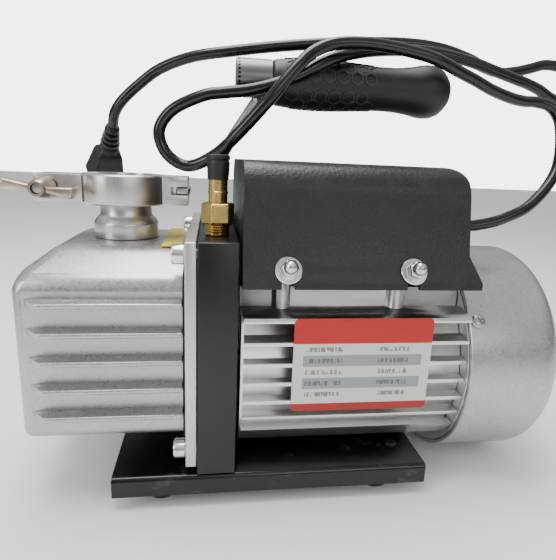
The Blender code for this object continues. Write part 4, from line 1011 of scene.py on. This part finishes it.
def make_wing_nut():
    """Cast wing nut: tapered hub and two flat rounded wings."""
    low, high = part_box("wing_nut")
    centre = Vector((-0.1315, high.y, 0.160))
    hub = turned("hub", [(0.0027, 0.0), (0.0058, 0.0), (0.0062, 0.0008), (0.0054, 0.0060),
                         (0.0043, 0.0122), (0.0037, 0.0130), (0.0027, 0.0130), (0.0027, 0.0)],
                 40)
    aim(hub, centre, (0, -1, 0))
    pieces = [hub]
    for side in (-1, 1):
        inner, outer = side * 0.0034, side * 0.0172
        wing = block("wing", (min(inner, outer), -0.0040, -0.0030),
                     (max(inner, outer), 0.0030, 0.0030))
        choose(wing, lambda f, s=side: f.normal.x * s < -0.9)
        bpy.ops.transform.resize(value=(1.0, 0.85, 0.45), center_override=(inner, 0, 0))
        apply(wing, "BEVEL", width=0.0014, segments=4, limit_method="NONE")
        wing.matrix_world = (Matrix.Translation(centre + Vector((0, -0.0085, 0)))
                             @ Matrix.Rotation(math.radians(7), 4, "Y"))
        settle(wing)
        pieces.append(done(wing))
    nut = pieces[0]
    for wing in pieces[1:]:
        carve(nut, wing, "UNION")
    nut.name = "cast_wing_nut"
    done(nut, 35)
    return stand_in(nut, "nickel", "wing_nut")


def make_nameplate():
    low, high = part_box("nameplate")
    plate = block("rating_plate", low, high)
    choose(plate, lambda e: abs(e.verts[0].co.y - e.verts[1].co.y) > 0.0005, "EDGE")
    bpy.ops.mesh.bevel(offset=0.0030, segments=6, affect="EDGES")
    done(plate)
    soften(plate, 0.00015, 2)
    return stand_in(plate, "print", "nameplate")


def make_yellow_label():
    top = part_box("oil_casing")[1].z
    label = block("plain_label", (-0.0705, -0.0320, top), (-0.0605, 0.0320, top + 0.0002))
    choose(label, lambda e: abs(e.verts[0].co.z - e.verts[1].co.z) > 0.0001, "EDGE")
    bpy.ops.mesh.bevel(offset=0.0008, segments=3, affect="EDGES")
    done(label)
    stand_in(label, "yellow", body="root")


def make_plate_screws():
    """Socket cap screws with rounded heads and hexagon sockets."""
    for number in range(1, 5):
        low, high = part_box(f"plate_screw_{number}")
        place = Vector((low.x, (low.y + high.y) / 2, (low.z + high.z) / 2))
        head = turned("head", [(0.0030, 0.0200), (0.0030, 0.0060), (0.0047, 0.0060),
                               (0.0050, 0.0057), (0.0050, 0.0008), (0.0047, 0.0002),
                               (0.0043, 0.0)], 40)
        socket = turned("socket", [(0.0027, -0.0010), (0.0027, 0.0030)], 6)
        carve(head, socket)
        aim(head, place, (1, 0, 0), 0.3 * number)
        head.name = f"cap_screw_{number}"
        done(head, 30)
        stand_in(head, "bright", f"plate_screw_{number}")


def make_cover_screws():
    """Pan head screws with a cross recess."""
    centre_z = middle("fan_cover").z
    screw_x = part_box("fan_cover")[0].x + 0.0045
    for number, degrees in enumerate((31.0, 149.0, 270.0), start=1):
        angle = math.radians(degrees)
        outward = Vector((0.0, -math.cos(angle), math.sin(angle)))
        seat = Vector((screw_x, 0, centre_z)) + outward * (0.0635 + GAP)
        head = turned("head", [(0.0015, -0.0080), (0.0015, 0.0), (0.0036, 0.0),
                               (0.0038, 0.0003), (0.0036, 0.0010), (0.0030, 0.0016),
                               (0.0018, 0.0020), (0.0004, 0.0020)], 32)
        for turn in (0.0, math.pi / 2):
            slot = block("slot", (-0.0018, -0.0003, 0.0010), (0.0018, 0.0003, 0.0030))
            slot.rotation_euler.z = turn
            settle(slot)
            carve(head, slot)
        aim(head, seat, outward, 0.5 * number)
        head.name = f"pan_screw_{number}"
        done(head, 30)
        stand_in(head, "steel", f"fan_cover_screw_{number}")


def make_base_bolts():
    """Hexagon heads of the bolts that hold the motor to the base plate."""
    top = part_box("base_plate")[1].z
    for number, (x, y) in enumerate(((0.0600, -0.0423), (0.0600, 0.0423)), start=1):
        bolt = turned("bolt", [(0.0036, 0.0), (0.0036, 0.0022), (0.0030, 0.0026)], 6)
        soften(bolt, 0.0003, 2)
        bolt.location = (x, y, top)
        settle(bolt)
        bolt.name = f"base_bolt_{number}"
        stand_in(bolt, "plastic", body="root")


def make_feet():
    for number in range(1, 5):
        low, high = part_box(f"rubber_foot_{number}")
        foot = turned("foot", [(0.0086, 0.0), (0.0092, 0.0006), (0.0101, 0.0020),
                               (0.0097, 0.0060), (0.0090, 0.0100), (0.0088, high.z)], 40)
        foot.location = ((low.x + high.x) / 2, (low.y + high.y) / 2, 0)
        settle(foot)
        foot.name = f"foot_{number}"
        stand_in(foot, "rubber", f"rubber_foot_{number}")


def finish_nodes():
    """Nodes whose own solids are kept, with rounded edges where they show."""
    for node, look, width in (
            ("flange_plate", "plate", 0.0), ("pump_block", "block", 0.0),
            ("motor_housing", "profile", 0.0004), ("base_plate", "gloss", 0.0),
            ("port_neck", "turned", 0.0003), ("blank_flange", "turned", 0.0),
            ("clamp_front", "turned", 0.0005), ("clamp_rear", "turned", 0.0005),
            ("clamp_link", "steel", 0.0), ("swing_bolt", "steel", 0.0002),
            ("drain_plug", "brass", 0.0003), ("sight_glass", "glass", 0.0002),
            ("rocker_switch", "plastic", 0.0), ("rear_end_bell", "plate", 0.0003)):
        refined(node, look, width)
    for node, look in (
            ("casing_gasket", "rubber"), ("pump_chamber", "iron"), ("chamber_cover", "iron"),
            ("exhaust_valve", "steel"), ("pump_rotor", "steel"), ("pump_vane_1", "plastic"),
            ("pump_vane_2", "plastic"), ("shaft_seal", "rubber"), ("drive_shaft", "bright"),
            ("front_bearing", "bright"), ("rear_bearing", "bright"), ("motor_rotor", "iron"),
            ("motor_stator", "copper"), ("cooling_fan", "plastic"), ("capacitor", "plate"),
            ("centring_ring", "rubber"), ("hinge_pin_1", "steel"), ("hinge_pin_2", "steel"),
            ("swing_bolt_pin", "steel")):
        NODES[node].data.materials.clear()
        NODES[node].data.materials.append(LOOKS[look])


make_camera()
make_studio()
make_cord()
make_casing()
make_fan_cover()
make_cover()
make_cap_nuts()
make_grip()
make_handle_frame()
make_inlet()
make_wing_nut()
make_nameplate()
make_yellow_label()
make_plate_screws()
make_cover_screws()
make_base_bolts()
make_feet()
finish_nodes()
